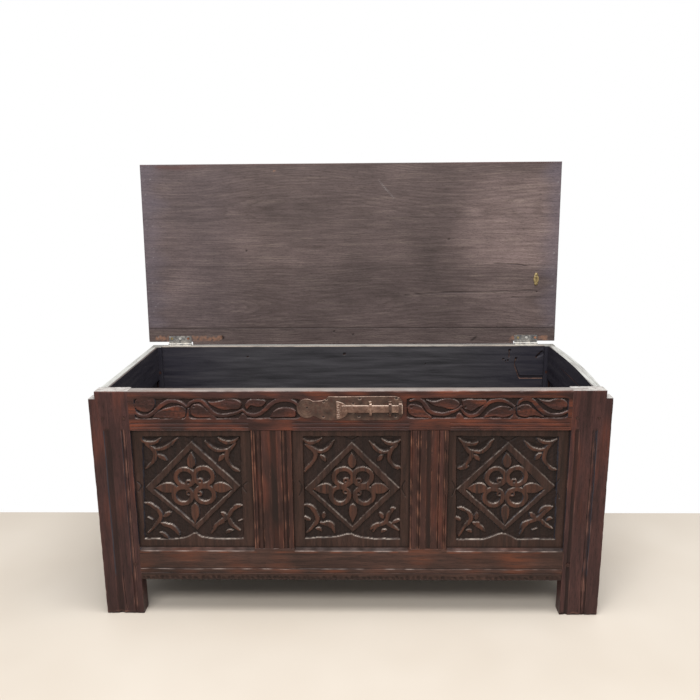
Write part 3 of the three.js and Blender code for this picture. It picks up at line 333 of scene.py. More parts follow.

# %% [markdown]
# ## Metal
# Iron is clouded and pitted with rust. Where it faces up it is painted pale as a highlight, and so are the
# plate's marked edges, which are also rubbed where it is handled. Holes and the plate under the bolt are
# painted dark as shade.

# %%
def metal(name, tones, scale, gloss, bump, metallic, rust=None, rubbed_and_lit_tone=None):
    tree = Tree(name)
    place = tree.coords()
    clouds = tree.noise(place, 38 * scale, 6, 0.62)
    colour = tree.tones(clouds, tones, (0.32, 0.5, 0.68))
    if rust:
        spots = tree.patches(place, [(0.5, 0), (0.62, 1)], 90 * scale, 5, 0.7)
        colour = tree.tint(tree.times(spots, 0.6), colour, rust)
        wear_and_glint_patches = tree.patches(place, [(0.36, 0.35), (0.56, 1)], 150, 4, 0.7)
        # Painted highlight: faces that look up, and the marked edges, are made pale.
        up = tree.grey(tree.axes(tree.normal())["Z"], [(0.55, 0), (0.9, 0.85)])
        rubbed_and_lit = tree.times(tree.math("MAXIMUM", up, tree.attribute("worn")), wear_and_glint_patches)
        colour = tree.tint(rubbed_and_lit, colour, rubbed_and_lit_tone)
        # Painted shade in holes and under the bolt.
        colour = tree.tint(tree.times(tree.attribute("deep"), 0.9), colour, "120d0b")
    rough = tree.grey(clouds, [(0.3, gloss + 0.16), (0.7, gloss - 0.08)])
    height = tree.mix(0.35, clouds, tree.noise(place, 260 * scale, 5, 0.6))
    return tree.finish(colour, rough, height, bump, 0.0008, Metallic=metallic)


# bright_iron is a paler copy of the iron for the pieces that catch the light: a painted highlight.
METAL = {name: metal(*settings) for name, *settings in (
    ("plate_iron", "plate_iron", ("33261f", "4d3a31", "6a5346"), 1, 0.5, 0.5, 0.45, "4a2a22", "b3998a"),
    ("bolt_iron", "bolt_iron", ("4c392f", "70564a", "947868"), 1.3, 0.42, 0.5, 0.5, "4e3024", "dcc7b5"),
    ("bright_iron", "rubbed_iron", ("7a6254", "a58c7c", "c9b3a3"), 1.2, 0.38, 0.4, 0.5, "6a4836", "eadccf"),
    ("steel", "hinge_steel", ("4e5052", "7b7a78", "b4afa8"), 2.2, 0.4, 0.3, 0.6, "5f5046", "f3ece0"),
    ("brass", "old_brass", ("66563a", "99865c", "c6b58a"), 2.4, 0.36, 0.3, 0.7, "3c2a16", "e0c58c"),
    ("copper", "old_copper", ("6a4330", "96654c", "c08a6c"), 2, 0.36, 0.3, 0.7),
    ("zinc", "bright_zinc", ("a9a6a0", "d2cec8", "efebe4"), 2, 0.36, 0.2, 0.5),
)}
print("metal:", ", ".join(METAL))

# %% [markdown]
# ## Boards as height fields
# A board is a dense grid for its shown face, a flat back and walls round every open edge, so it is
# closed. Cells can be left out, which gives the notches at the tops of the stiles. By hand this would
# be sculpted; here each cut is a sum of smooth steps, so every depth can be read and changed.

# %%
RIGHT, UP = np.array([1.0, 0, 0]), np.array([0, 0, 1.0])
FRONT = (np.array([0.0, front_y, 0.0]), RIGHT, UP)
SKIN = -0.02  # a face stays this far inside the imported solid


def waves(x, y, size, seed, count=7):
    """A smooth random surface with features of about that size, mostly from -1 to 1."""
    rng = np.random.default_rng(seed)
    total = np.zeros(np.broadcast(x, y).shape)
    for _ in range(count):
        angle, phase = rng.uniform(0, 2 * np.pi, 2)
        length = size * rng.uniform(0.7, 1.8)
        total += np.sin((x * np.cos(angle) + y * np.sin(angle)) * 2 * np.pi / length + phase)
    return total / (0.5 * count)


def unit(value):
    return np.clip(value, 0, 1)


def ramp01(low, high, value):
    t = unit((value - low) / (high - low))
    return t * t * (3 - 2 * t)


def fade(low, high, value):
    return 1 - ramp01(low, high, value)


def limits(value, pair):
    """How far a value lies inside a range, negative outside it."""
    return np.minimum(value - pair[0], pair[1] - value)


def steps(start, end, pitch, at=(), fine=()):
    """Grid lines from start to end, close together at both ends, with extra ones where asked."""
    edge = np.array([0, 0.25, 0.7, 1.3, 2.2])
    inner = np.linspace(start + 2.2, end - 2.2, max(2, round((end - start - 4.4) / pitch) + 1))
    lines = [start + edge, end - edge, inner, np.array(at, float)]
    lines += [np.arange(centre - half, centre + half + 0.01, gap) for centre, half, gap in fine]
    merged = np.unique(np.round(np.concatenate(lines), 3))
    merged = merged[(merged >= start) & (merged <= end)]
    fixed = set(np.round(np.concatenate([[start, end], np.array(at, float)]), 3))
    kept = [merged[0]]
    for line in merged[1:]:
        if line - kept[-1] >= 0.18:
            kept.append(line)
        elif line in fixed:
            kept[-1] = line
    return np.array(kept)


def rounded(distance, radius):
    """How far a face falls away near an arris of that radius."""
    inside = np.clip(distance, 0, radius)
    return -(radius - np.sqrt(radius**2 - (radius - inside) ** 2))


def span(node, axis):
    low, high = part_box(node)
    return low[axis] / MM, high[axis] / MM


def lattice(us, vs):
    return np.meshgrid(us, vs, indexing="ij")


def alone(piece):
    bpy.ops.object.select_all(action="DESELECT")
    piece.select_set(True)
    bpy.context.view_layer.objects.active = piece


def belongs(piece, body, stands_for):
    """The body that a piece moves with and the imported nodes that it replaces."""
    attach(piece, body)
    if stands_for:
        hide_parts(*stands_for)


# %%
def closed_faces(cells):
    """The grid's kept cells, front and back, and walls where a kept cell has no neighbour."""
    rows = cells.shape[1] + 1
    count = (cells.shape[0] + 1) * rows
    i, j = np.nonzero(cells)
    corner = i * rows + j
    quads = np.stack([corner, corner + rows, corner + rows + 1, corner + 1], 1)
    faces = [quads, quads[:, ::-1] + count]
    padded = np.pad(cells, 1)
    for di, dj, a, b in ((-1, 0, 1, 0), (1, 0, rows, rows + 1), (0, -1, 0, rows), (0, 1, rows + 1, 1)):
        beyond = padded[1 + di : padded.shape[0] - 1 + di, 1 + dj : padded.shape[1] - 1 + dj]
        open_i, open_j = np.nonzero(cells & ~beyond)
        first, second = open_i * rows + open_j + a, open_i * rows + open_j + b
        faces.append(np.stack([second, first, first + count, second + count], 1))
    return np.concatenate(faces)


def board(name, body, material, slot, us, vs, height, back, axes=FRONT, keep=None,
          stands_for=(), shift=None, **attributes):
    """A closed board. height and back are distances out from the face's plane, in mm.

    An attribute is the face's values, or a pair for the face and the back.
    """
    origin, along_u, along_v = axes
    out = np.cross(along_u, along_v)
    u, v = lattice(us, vs)
    shape = u.shape
    place_u, place_v = shift(u, v) if shift else (u, v)
    flat = origin + place_u[..., None] * along_u + place_v[..., None] * along_v
    top, under = (flat + np.broadcast_to(side, shape)[..., None] * out for side in (height, back))
    cells = np.ones((shape[0] - 1, shape[1] - 1), bool)
    if keep:
        cells = keep(*((grid[1:, 1:] + grid[:-1, :-1]) / 2 for grid in (u, v)))
    faces = closed_faces(cells)
    points = np.concatenate([top.reshape(-1, 3), under.reshape(-1, 3)]) * MM
    used, renamed = np.unique(faces, return_inverse=True)
    mesh = bpy.data.meshes.new(name)
    mesh.from_pydata(points[used].tolist(), [], renamed.reshape(faces.shape).tolist())
    for key, values in attributes.items():
        sides = values if isinstance(values, tuple) else (values, 0.0)
        both = np.concatenate([np.broadcast_to(side, shape).ravel() for side in sides])
        layer = mesh.attributes.new(key, "FLOAT", "POINT")
        layer.data.foreach_set("value", both[used].astype(np.float32))
    shaped = bmesh.new()
    shaped.from_mesh(mesh)
    bmesh.ops.recalc_face_normals(shaped, faces=shaped.faces)
    shaped.to_mesh(mesh)
    shaped.free()
    piece = bpy.data.objects.new(name, mesh)
    bpy.context.scene.collection.objects.link(piece)
    piece.data.materials.append(material)
    alone(piece)
    bpy.ops.object.shade_smooth_by_angle(angle=math.radians(38))
    belongs(piece, body, stands_for)


# %% [markdown]
# ## Carving tools
# A carved form is a field of distances in mm, negative inside the form. Strokes have a half width at
# each point, and outlines are closed.

# %%
def smooth_line(points, per_span=6):
    """Points on a curve through the given ones."""
    p = np.array(points, float)
    if len(p) < 3:
        return p
    ends = np.vstack([2 * p[0] - p[1], p, 2 * p[-1] - p[-2]])
    t = np.linspace(0, 1, per_span, endpoint=False)[:, None]
    spans = [0.5 * (2 * b + (c - a) * t + (2 * a - 5 * b + 4 * c - d) * t**2
                    + (3 * b - a - 3 * c + d) * t**3)
             for a, b, c, d in zip(ends, ends[1:], ends[2:], ends[3:])]
    return np.vstack(spans + [p[-1:]])


def stroke(u, v, points, widths, curved=True):
    line = smooth_line(points) if curved else np.array(points, float)
    half = np.interp(np.linspace(0, 1, len(line)), np.linspace(0, 1, len(widths)), widths)
    field = np.full(u.shape, 1e3)
    for (ax, ay), (bx, by), wa, wb in zip(line, line[1:], half, half[1:]):
        dx, dy = bx - ax, by - ay
        t = unit(((u - ax) * dx + (v - ay) * dy) / max(dx * dx + dy * dy, 1e-9))
        away = np.hypot(u - ax - t * dx, v - ay - t * dy) - (wa + (wb - wa) * t)
        np.minimum(field, away, out=field)
    return field


def outline_field(u, v, points, curved=True):
    ring = list(points) + [points[0]]
    line = smooth_line(ring) if curved else np.array(ring, float)
    inside = np.zeros(u.shape, bool)
    for (ax, ay), (bx, by) in zip(line, line[1:]):
        if ay != by:
            inside ^= ((ay > v) != (by > v)) & (u < (bx - ax) * (v - ay) / (by - ay) + ax)
    away = stroke(u, v, line, [0, 0], curved=False)
    return np.where(inside, -away, away)


def carve(field, depth, slope, soft):
    """Heights for a raised form: level on it, a steep side, and ground at -depth beyond."""
    return -depth * ramp01(0, slope, field) - 0.45 * fade(0, soft, -field)


def pit(relief, deep, away, cut, shade):
    """Sink a hole or a line into the relief and darken it with painted shade: how much, and from where to
    where.
    """
    relief = relief - cut[0] * fade(*cut[1:], away)
    return relief, np.maximum(deep, shade[0] * fade(*shade[1:], away))


# %%
def lit_arris(v, height, reach):
    """A painted highlight: how far each slope faces up, toward the light from above."""
    return unit(-np.gradient(height, v[0], axis=1) / reach)


def toward_light(u, v, height):
    """How far each slope faces up and a little to the right, toward the light, where the painted highlight
    is palest.
    """
    right = -np.gradient(height, u[:, 0], axis=0)
    up = -np.gradient(height, v[0], axis=1)
    return unit((0.45 * right + 0.95 * up) / (np.hypot(right, up) + 0.3))


def convex(height, reach=2):
    """How far each point stands above its neighbours: high along arrises and ridges."""
    around = sum(np.roll(height, step * reach, axis) for axis in (0, 1) for step in (-1, 1)) / 4
    return height - around


def hand_worn(u, v, size, seed, low=0.2):
    return np.clip(low + 0.3 + 0.8 * waves(u, v, size, seed), low, 1)


# Each form, then where it starts and ends as shares of the member's width, as in the CAD solid
MOULDINGS = {
    "front_left_stile": [("hollow", 0.31, 0.49), ("groove", 0.76, 0.8), ("reed", 0.8, 0.87)],
    "front_right_stile": [("hollow", 0.1, 0.21), ("reed", 0.54, 0.615), ("groove", 0.615, 0.665)],
    "front_left_muntin": [
        ("reed", 0, 0.055), ("reed", 0.055, 0.115), ("groove", 0.115, 0.14), ("reed", 0.14, 0.23),
        ("groove", 0.23, 0.26), ("hollow", 0.46, 0.64), ("groove", 0.745, 0.77), ("reed", 0.77, 0.83),
        ("hollow", 0.83, 0.89)],
    "front_right_muntin": [
        ("reed", 0, 0.06), ("reed", 0.18, 0.245), ("groove", 0.245, 0.275), ("hollow", 0.425, 0.57),
        ("groove", 0.745, 0.775), ("reed", 0.89, 0.945)],
    "front_bottom_rail": [("groove", 0.21, 0.25), ("groove", 0.36, 0.395)],
}


def moulded(share, forms):
    """Heights across a member's width."""
    height = np.zeros(share.shape)
    for form, start, end in forms:
        along = unit((share - start) / (end - start))
        bowed = (2 * along - 1) ** 2
        depth = {"hollow": 2.4 * (1 - bowed), "reed": 1.6 * bowed,
                 "groove": 2.0 * (1 - np.abs(2 * along - 1))}[form]
        height -= np.where((share > start) & (share < end), depth, 0)
    return height


def reed_crests(share, forms):
    """1 along the crest of each reed and 0 elsewhere. It is painted pale: rubbing has taken the stain off,
    and it also stands for a painted highlight along the ridge.
    """
    crest = np.zeros(share.shape)
    for form, start, end in forms:
        if form == "reed":
            crest = np.maximum(crest, 1 - np.abs(2 * (share - start) / (end - start) - 1) * 1.3)
    return crest


print("tools ready")

# %% [markdown]
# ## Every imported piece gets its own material
# The first line that a node's name fits gives its finish. Pieces that are remade below are dressed too,
# so nothing depends on the order.

# %%
DRESSING = [
    ("lock_plate|lock_second_strap", METAL["plate_iron"]), ("lock_bolt", METAL["bolt_iron"]),
    ("lock_", METAL["bright_iron"]), ("lid_stay_plate", METAL["brass"]), ("^lid_", OAK["lid"]),
    ("_hinge_", METAL["steel"]), ("^front_.*_stile$", OAK["stile"]),
    ("_stile$|end_muntin|back_(left|right)_muntin", OAK["case_post"]),
    ("^front_(top|bottom)_rail", OAK["rail"]), ("^front_.*muntin", OAK["muntin"]),
    ("^front_.*panel", OAK["panel"]), ("_peg$", OAK["peg"]), ("^floor_board", OAK["floor"]),
    ("_end_", OAK["case_end"]), ("", OAK["case"]),
]
for node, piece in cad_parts.items():
    piece.data.materials.clear()
    piece.data.materials.append(next(finish for words, finish in DRESSING if re.search(words, node)))
print("dressed", len(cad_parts), "pieces")

# %% [markdown]
# ## The three carved panels
# The carver sank the ground and left the design standing. Design points are in mm from the middle of
# each opening: a lozenge band round four curled loops, with a leaf at each corner, and crescents, stems
# and drops in the four outer corners. No two panels are quite alike, so each has its own points.

# %%
PANELS = {
    "left": {
        "outer": [(0, 118), (109, 8), (2, -104), (-114, 3)],
        "inner": [(-1, 101), (94, 2), (-1, -90), (-96, 0)],
        "loops": [(-20, 29), (24, 32), (-27, -16), (25, -14)],
        "eyes": [(-12, 16), (15, 20), (-13, -10), (11, -12)],
        "leaves": [((-4, 56), (-2, 91)), ((50, 5), (91, 2)), ((0, -39), (-2, -88)), ((-45, 3), (-92, 3))],
        "arcs": [[(-116, 129), (-107, 120), (-95, 117), (-83, 121), (-74, 129)], [(-95, 107), (-82, 103),
            (-69, 104), (-54, 112), (-42, 122), (-33, 129)], [(66, 129), (72, 123), (84, 119), (97, 122),
            (108, 130)], [(35, 121), (42, 111), (52, 103), (61, 100), (74, 100), (88, 104)], [(91, 61),
            (100, 52), (111, 48)], [(-117, -32), (-105, -36), (-94, -44), (-85, -52)], [(-112, -69),
            (-101, -77)], [(-75, -88), (-61, -89), (-49, -99), (-38, -111)], [(-86, -108), (-76, -114),
            (-66, -123)], [(88, -46), (96, -40), (112, -38)], [(100, -79), (114, -72)], [(37, -97),
            (46, -89), (56, -83), (67, -81)], [(68, -111), (76, -104), (87, -102)]],
        "stems": [[(-106, 111), (-90, 99), (-86, 83), (-94, 66), (-110, 52)], [(102, 114), (85, 95),
            (81, 79), (86, 62), (99, 47)], [(-112, -36), (-91, -52), (-83, -71), (-96, -91), (-116, -112)],
            [(-84, -87), (-60, -97), (-42, -118)], [(109, -42), (89, -52), (77, -70), (52, -89),
            (36, -113)], [(77, -72), (86, -91), (104, -107)]],
        "drops": [((-81, 86), (-59, 72)), ((75, 86), (61, 70)), ((-58, -60), (-77, -71)),
            ((61, -60), (74, -72))],
        "sill": [(-127, -129), (-81, -129), (-33, -126), (-20, -121), (-8, -113), (-1, -112), (3, -117),
            (12, -123), (29, -126), (67, -128), (118, -126)],
        "window": [(-113, 132), (115, 132), (113, -128), (-126, -128)],
        "cusps": [[(-132, 20), (-124, 8), (-132, -6)], [(126, 19), (116, 8), (123, -8)], [(-14, 132),
            (-1, 121), (12, 131)]],
    },
    "middle": {
        "outer": [(2, 116), (113, 2), (3, -109), (-108, 1)],
        "inner": [(3, 101), (92, -1), (2, -95), (-91, -2)],
        "loops": [(-18, 30), (27, 30), (-26, -16), (31, -16)],
        "eyes": [(-12, 22), (18, 21), (-13, -6), (17, -10)],
        "leaves": [((3, 56), (2, 89)), ((51, 2), (89, 1)), ((4, -40), (2, -84)), ((-45, 1), (-90, 1))],
        "arcs": [[(-108, 128), (-100, 120), (-91, 118), (-80, 122), (-69, 129)], [(-87, 106), (-79, 100),
            (-70, 97), (-59, 101), (-50, 110), (-42, 123)], [(-109, 53), (-100, 60), (-92, 70)], [(73, 127),
            (83, 119), (94, 116), (103, 118), (113, 125)], [(45, 122), (53, 112), (58, 105), (67, 97),
            (78, 95), (91, 101)], [(96, 65), (104, 59), (118, 57)], [(-111, -37), (-100, -39), (-89, -44),
            (-81, -51)], [(-108, -67), (-103, -72), (-96, -76)], [(-67, -82), (-56, -81), (-47, -84),
            (-39, -89)], [(-84, -97), (-75, -98), (-68, -104)], [(89, -54), (94, -47), (104, -46)],
            [(95, -83), (105, -78), (114, -75)], [(42, -101), (51, -91), (64, -83)], [(69, -107),
            (75, -102), (82, -100)]],
        "stems": [[(-104, 110), (-90, 101), (-82, 85), (-89, 68), (-108, 44)], [(107, 110), (94, 99),
            (88, 83), (93, 66), (109, 50)], [(-100, -42), (-85, -60), (-81, -80), (-92, -96), (-107, -111)],
            [(-73, -86), (-49, -94), (-40, -111)], [(101, -49), (88, -64), (81, -82), (60, -95),
            (51, -108)], [(81, -82), (95, -93), (111, -104)]],
        "drops": [((-70, 85), (-58, 70)), ((74, 85), (62, 70)), ((-64, -60), (-67, -74)),
            ((66, -59), (75, -74))],
        "sill": [(-111, -126), (-74, -124), (-43, -122), (-25, -119), (-13, -115), (0, -114), (7, -118),
            (26, -124), (58, -127), (114, -129)],
        "window": [(-111, 132), (116, 132), (115, -127), (-111, -126)],
        "cusps": [[(-122, 22), (-115, 3), (-123, -16)], [(126, 22), (119, 3), (127, -17)], [(-15, 131),
            (2, 121), (18, 131)]],
    },
    "right": {
        "outer": [(0, 115), (112, 8), (-2, -106), (-116, 0)],
        "inner": [(-4, 100), (89, 0), (0, -92), (-96, -1)],
        "loops": [(-26, 30), (22, 32), (-30, -20), (24, -20)],
        "eyes": [(-17, 22), (16, 20), (-16, -11), (13, -11)],
        "leaves": [((0, 57), (-4, 91)), ((42, 3), (87, 3)), ((-1, -42), (-1, -88)), ((-50, 3), (-94, 2))],
        "arcs": [[(-112, 128), (-103, 119), (-92, 115), (-80, 115), (-71, 120)], [(-86, 102), (-77, 97),
            (-65, 96), (-52, 104), (-44, 116), (-37, 125)], [(-115, 56), (-104, 57), (-92, 62)], [(67, 128),
            (75, 122), (88, 118), (101, 121), (108, 127)], [(39, 122), (47, 111), (58, 103), (73, 100),
            (85, 105)], [(94, 64), (102, 55), (113, 52)], [(-112, -44), (-101, -46), (-88, -53)],
            [(-116, -67), (-109, -71), (-103, -75)], [(-75, -82), (-64, -83), (-57, -88)], [(-91, -102),
            (-82, -102), (-75, -106)], [(75, -58), (84, -46), (95, -41), (110, -42)], [(95, -77),
            (102, -71), (110, -71)], [(34, -97), (40, -86), (50, -80), (64, -77)], [(64, -99), (75, -96)]],
        "stems": [[(-105, 112), (-94, 99), (-84, 85), (-93, 66), (-109, 50)], [(101, 114), (88, 101),
            (83, 83), (87, 66), (105, 48)], [(-101, -49), (-85, -61), (-81, -77), (-94, -94), (-108, -118)],
            [(-75, -85), (-56, -97), (-47, -108)], [(108, -45), (92, -57), (78, -73), (51, -87),
            (37, -114)], [(78, -73), (92, -87), (111, -99)]],
        "drops": [((-79, 85), (-64, 72)), ((75, 89), (63, 74)), ((-67, -59), (-69, -77)),
            ((57, -60), (71, -73))],
        "sill": [(-119, -129), (-80, -129), (-54, -128), (-35, -123), (-17, -115), (-6, -112), (3, -113),
            (11, -117), (25, -126), (36, -129), (51, -127), (116, -127)],
        "window": [(-121, 132), (114, 131), (119, -127), (-115, -128)],
        "cusps": [[(-128, 21), (-120, 4), (-127, -15)], [(121, 27), (114, 7), (123, -21)], [(-19, 130),
            (1, 118), (21, 130)]],
    },
}


# %%
LOOP_RADIUS, LOOP_HALF, EYE_RADIUS = 21.5, 5.2, 7.2
LEAF_SHAPE = (0.3, 0.8, 1, 0.96, 0.8, 0.55, 0.28, 0.05)


def spread(points, count):
    """The same straight line with more points, so that widths can change along it."""
    (ax, ay), (bx, by) = points
    return [(ax + (bx - ax) * i / (count - 1), ay + (by - ay) * i / (count - 1)) for i in range(count)]


def under(points, drop):
    """An arc moved to its lower side, where the raised band lies below its lit edge."""
    line = smooth_line(points, 4)
    run = np.gradient(line, axis=0)
    normal = np.stack([run[:, 1], -run[:, 0]], 1) / np.hypot(run[:, 0], run[:, 1])[:, None]
    normal *= np.where(normal[:, 1:] > 0, -1, 1)
    return line + normal * drop


def panel_forms(x, z, design):
    """What stands in the middle and the corners: leaves, loops, eyes, crescents, stems and drops."""
    forms = [stroke(x, z, spread(line, 12), [half * s for s in LEAF_SHAPE], False)
             for line, half in zip(design["leaves"], (10, 13, 10, 13))]
    forms += [np.abs(np.hypot(x - a, (z - b) * 1.04) - LOOP_RADIUS) - LOOP_HALF
              for a, b in design["loops"]]
    forms += [np.hypot(x - a, z - b) - EYE_RADIUS for a, b in design["eyes"]]
    forms += [stroke(x, z, under(arc, 3.6), [1.0, 3.0, 3.9, 3.9, 3.0, 1.0], False)
              for arc in design["arcs"]]
    forms += [stroke(x, z, stem, [2.0, 4.6, 5.0, 4.6, 3.2, 1.6]) for stem in design["stems"]]
    forms += [stroke(x, z, spread(drop, 9), [1.2, 4.2, 5.2, 3.6, 0.6], False)
              for drop in design["drops"]]
    return np.minimum.reduce(forms)


def panel_relief(u, v, design, seed):
    """Heights of one panel's face below its highest surface, with the painted shade of its ground and
    hollows and how red it is.
    """
    x, z = (flat + 0.55 * waves(u, v, 34, seed + s) + 0.25 * waves(u, v, 13, seed + s + 1)
            for flat, s in ((u, 0), (v, 2)))
    sill = design["sill"]
    left, right = sill[0][0] - 40, sill[-1][0] + 40
    ground_line = [(left, sill[0][1]), *sill, (right, sill[-1][1]), (right, -170), (left, -170)]
    outer, inner = (outline_field(x, z, design[key], False) for key in ("outer", "inner"))
    band = np.maximum(outer, -inner)
    carved = panel_forms(x, z, design)
    raised = np.minimum.reduce([-outline_field(x, z, design["window"], False),
                                outline_field(x, z, ground_line, False), band, carved])
    ground = 0.35 * waves(x, z, 9, seed + 4) + 0.2 * waves(x, z, 5, seed + 5)
    height = carve(raised, 4.3, 1.7, 2.2) + ramp01(0.5, 2.5, raised) * (ground - 0.35)
    height += 0.22 * waves(x, z, 26, seed + 6) * fade(0, 1, raised) - 0.2
    # Painted shade on the sunk ground, in the hollows and bowls, and in the eyes and cusps.
    deep = 0.62 * ramp01(0.2, 2.2, raised)
    for arc in design["arcs"]:
        hollow = outline_field(x, z, arc, False)
        height -= 1.1 * ramp01(0, 3, -hollow) * ramp01(0, 2, carved)
        deep = np.maximum(deep, ramp01(0, 4, -hollow) * ramp01(0, 1.5, carved))
    for a, b in design["loops"]:
        bowl = np.hypot(x - a, z - b) - 16
        height -= 1.2 * ramp01(0, 6, -bowl) * ramp01(0, 2, carved)
        deep = np.maximum(deep, 0.72 * ramp01(0, 5, -bowl) * ramp01(0, 1.5, carved))
    for a, b in design["eyes"]:
        away = np.hypot(x - a, z - b)
        height -= 3.0 * fade(2.2, 3.6, away) + 0.7 * fade(0, 1.1, np.abs(away - 7.0))
        deep = np.maximum(deep, fade(2.4, 3.6, away))
    height -= 0.35 * fade(0.2, 1.3, np.abs(outer + 5.5)) * (band < 0)
    for cusp in design["cusps"]:
        cut = stroke(x, z, cusp, [0.2, 1.0, 0.2])
        height, deep = pit(height, deep, cut, (1.8, 0, 1.6), (0.8, 0, 1.6))
    red = fade(-1.5, 0.6, carved) * 0.65 + 0.2 * fade(-1, 0.5, raised)
    return np.minimum(height, SKIN), deep, unit(red)


# %%
PANEL_CENTRE_Z = 322.75
PANEL_CENTRE_X = {"left": -366.25, "middle": 3.5, "right": 366.0}
PANEL_GRID = 1.43
PANEL_SET_BACK, EDGE_BACK, FIELD_BULGE = 8.0, 14.0, 6.9
for seed, (side, design) in enumerate(PANELS.items()):
    node = f"front_{side}_panel"
    us, vs = (steps(*span(node, axis), PANEL_GRID) for axis in (0, 2))
    u, v = lattice(us, vs)
    relief, deep, red = panel_relief(u - PANEL_CENTRE_X[side], v - PANEL_CENTRE_Z, design,
                                     10 * seed + 3)
    # Painted highlights on slopes that face up and toward the light; the margins under the frame get a
    # painted shadow.
    worn = lit_arris(v, relief, 1.7) ** 2 * ramp01(-3.2, -1.4, relief)
    worn *= 0.2 + 0.8 * toward_light(u, v, relief)
    worn = worn * (0.55 + 0.45 * unit(waves(u, v, 40, seed + 60) + 0.5))
    inset = np.minimum(limits(u, us[[0, -1]]), limits(v, vs[[0, -1]]))
    shadow_line = fade(8, 12, inset)
    back = -EDGE_BACK - FIELD_BULGE * ramp01(7.5, 23, inset)
    board(f"carved_{side}_panel", "case", OAK["panel"], "oak_panel", us, vs,
          relief - PANEL_SET_BACK, back, stands_for=(node,), worn=worn * (1 - shadow_line),
          deep=np.maximum(deep, 0.7 * shadow_line), red=red)
    print("panel", side, u.shape)

# %% [markdown]
# ## The top rail's running vine
# Two sunk strips, left and right of the lock, hold a waving stem with a leaf in each bend. The points
# are in mm, from the middle of the chest and from the strips' own middle line.

# %%
VINES = [
    [(-491, 10.6), (-488, -2.7), (-478, -11.4), (-461, -12.0), (-446, -2.8), (-430, 12.0), (-413, 21.7),
        (-398, 23.4), (-383, 18.7), (-372, 10.4)],
    [(-369, 10.4), (-360, 19.8), (-348, 24.5), (-336, 23.6), (-326, 13.3), (-315, -1.5), (-303, -8.9),
        (-287, -11.0), (-269, -8.3), (-254, -3.6), (-243, 2.0)],
    [(-243, 2.0), (-233, -6.9), (-219, -10.5), (-203, -6.9), (-192, 1.3), (-180, 13.1), (-167, 22.5),
        (-153, 25.4), (-136, 25.3), (-124, 20.3), (-116, 11.5)],
    [(139, 21.9), (149, 25.6), (161, 25.1), (170, 16.5), (179, 2.5), (190, -5.6), (204, -8.9), (219, -7.8),
        (233, -3.5), (246, 2.4), (254, 9.1)],
    [(255, 2.4), (262, -6.3), (273, -12.5), (286, -10.6), (296, -4.4), (307, 9.0), (318, 19.7), (334, 24.2),
        (349, 23.1), (363, 15.6), (373, 8.9)],
    [(382, 12.9), (387, 22.3), (398, 26.8), (411, 24.6), (422, 14.2), (434, 0.8), (447, -8.1), (463, -11.4),
        (481, -9.2), (493, -3.3)],
]
LEAVES = [
    [(-448, -15.0), (-443, -7.8), (-431, 1.0), (-414, 7.5), (-396, 11.6), (-382, 10.4), (-374, 5.1),
        (-374, -5.8), (-377, -14.7), (-393, -18.3), (-415, -16.2), (-435, -16.2)],
    [(-363, 1.5), (-357, 12.7), (-345, 15.7), (-333, 9.8), (-322, -1.5), (-310, -8.9), (-304, -19.9),
        (-321, -15.1), (-347, -15.1), (-360, -9.1)],
    [(-320, 21.5), (-308, 20.3), (-293, 23.2), (-280, 27.9), (-262, 27.9), (-249, 22.6), (-245, 14.6),
        (-251, 5.8), (-264, 4.4), (-284, 2.9), (-300, 7.4), (-314, 15.0)],
    [(-237, 11.7), (-231, 22.0), (-219, 27.2), (-204, 26.3), (-190, 22.5), (-197, 11.6), (-210, 10.2),
        (-224, 13.1), (-233, 4.3)],
    [(-180, -15.3), (-171, -2.3), (-159, 5.4), (-142, 7.1), (-124, 2.4), (-123, -13.0), (-140, -14.1),
        (-151, -15.3)],
    [(-480, 31), (-447, 31), (-444, 13.5), (-455, 0.2), (-471, -1.3), (-485, 6.1), (-488, 19.4)],
    [(-381, -19.2), (-373, -14.7), (-369, 4.5), (-364, 4.5), (-366, -14.8), (-359, -18.6)],
    [(-252, -17.6), (-242, -6.3), (-233, -19.4)],
    [(133, 6.6), (139, 13.3), (152, 13.8), (164, 9.2), (172, -1.6), (188, -16.5), (173, -15.6),
        (153, -14.2), (138, -8.3), (134, -0.2)],
    [(175, 25.0), (188, 21.3), (201, 23.1), (213, 27.1), (227, 27.9), (240, 25.2), (250, 16.3), (247, 9.1),
        (240, 5.1), (224, 5.1), (209, 9.2), (191, 13.2)],
    [(242, -19.2), (250, -6.3), (260, -18.7)],
    [(256, 23.8), (270, 26.5), (290, 25.4), (308, 25.6), (308, 17.1), (291, 7.7), (278, -0.4), (268, 2.3),
        (259, 6.4)],
    [(306, -16.6), (317, -2.6), (329, 4.4), (342, 9.8), (357, 8.7), (368, 3.5), (369, -8.6), (350, -15.6),
        (332, -12.8), (317, -14.4)],
    [(366, -17.7), (371, -9.9), (371, 6.2), (376, 6.2), (377, -9.9), (383, -17.8)],
    [(424, 28.4), (435, 23.8), (451, 23.2), (463, 26.4), (476, 27.5), (489, 21.3), (492, 10.1), (482, 3.4),
        (470, 2.1), (454, 6.9), (438, 17.7)],
    [(379, 4.9), (383, 9.2), (394, 12.9), (407, 12.3), (417, 4.3), (429, -5.9), (442, -15.1), (419, -12.1),
        (399, -14.5), (383, -10.2)],
]
EYES = [(-354, 10.4), (-224, 2.5), (-482, -0.7), (142, 7.9), (364, 3.6), (385, 3.3), (263, 8.3),
        (485, 5.8)]
STRIP_Z = 518.0
STRIPS = [((-493, -108), (499.5, 547.5)), ((128, 498), (500, 548))]
OPENINGS_X = [(-504, -227), (-133, 140), (227.5, 504)]
EDGE_LINES = [(2.6, 1.3, 1.2), (8.3, 1.2, 1.5), (17.5, 1.4, 1.2)]
STILE_INNER = 504.0
TENON_FACE, TENON_BACK = -10.0, -20.0
TOP_RAIL_BACK, BOTTOM_RAIL_BACK, MUNTIN_BACK, STILE_BACK = -28.0, -33.0, -30.0, -36.0


def between(value, low, high):
    return (value > low) & (value < high)


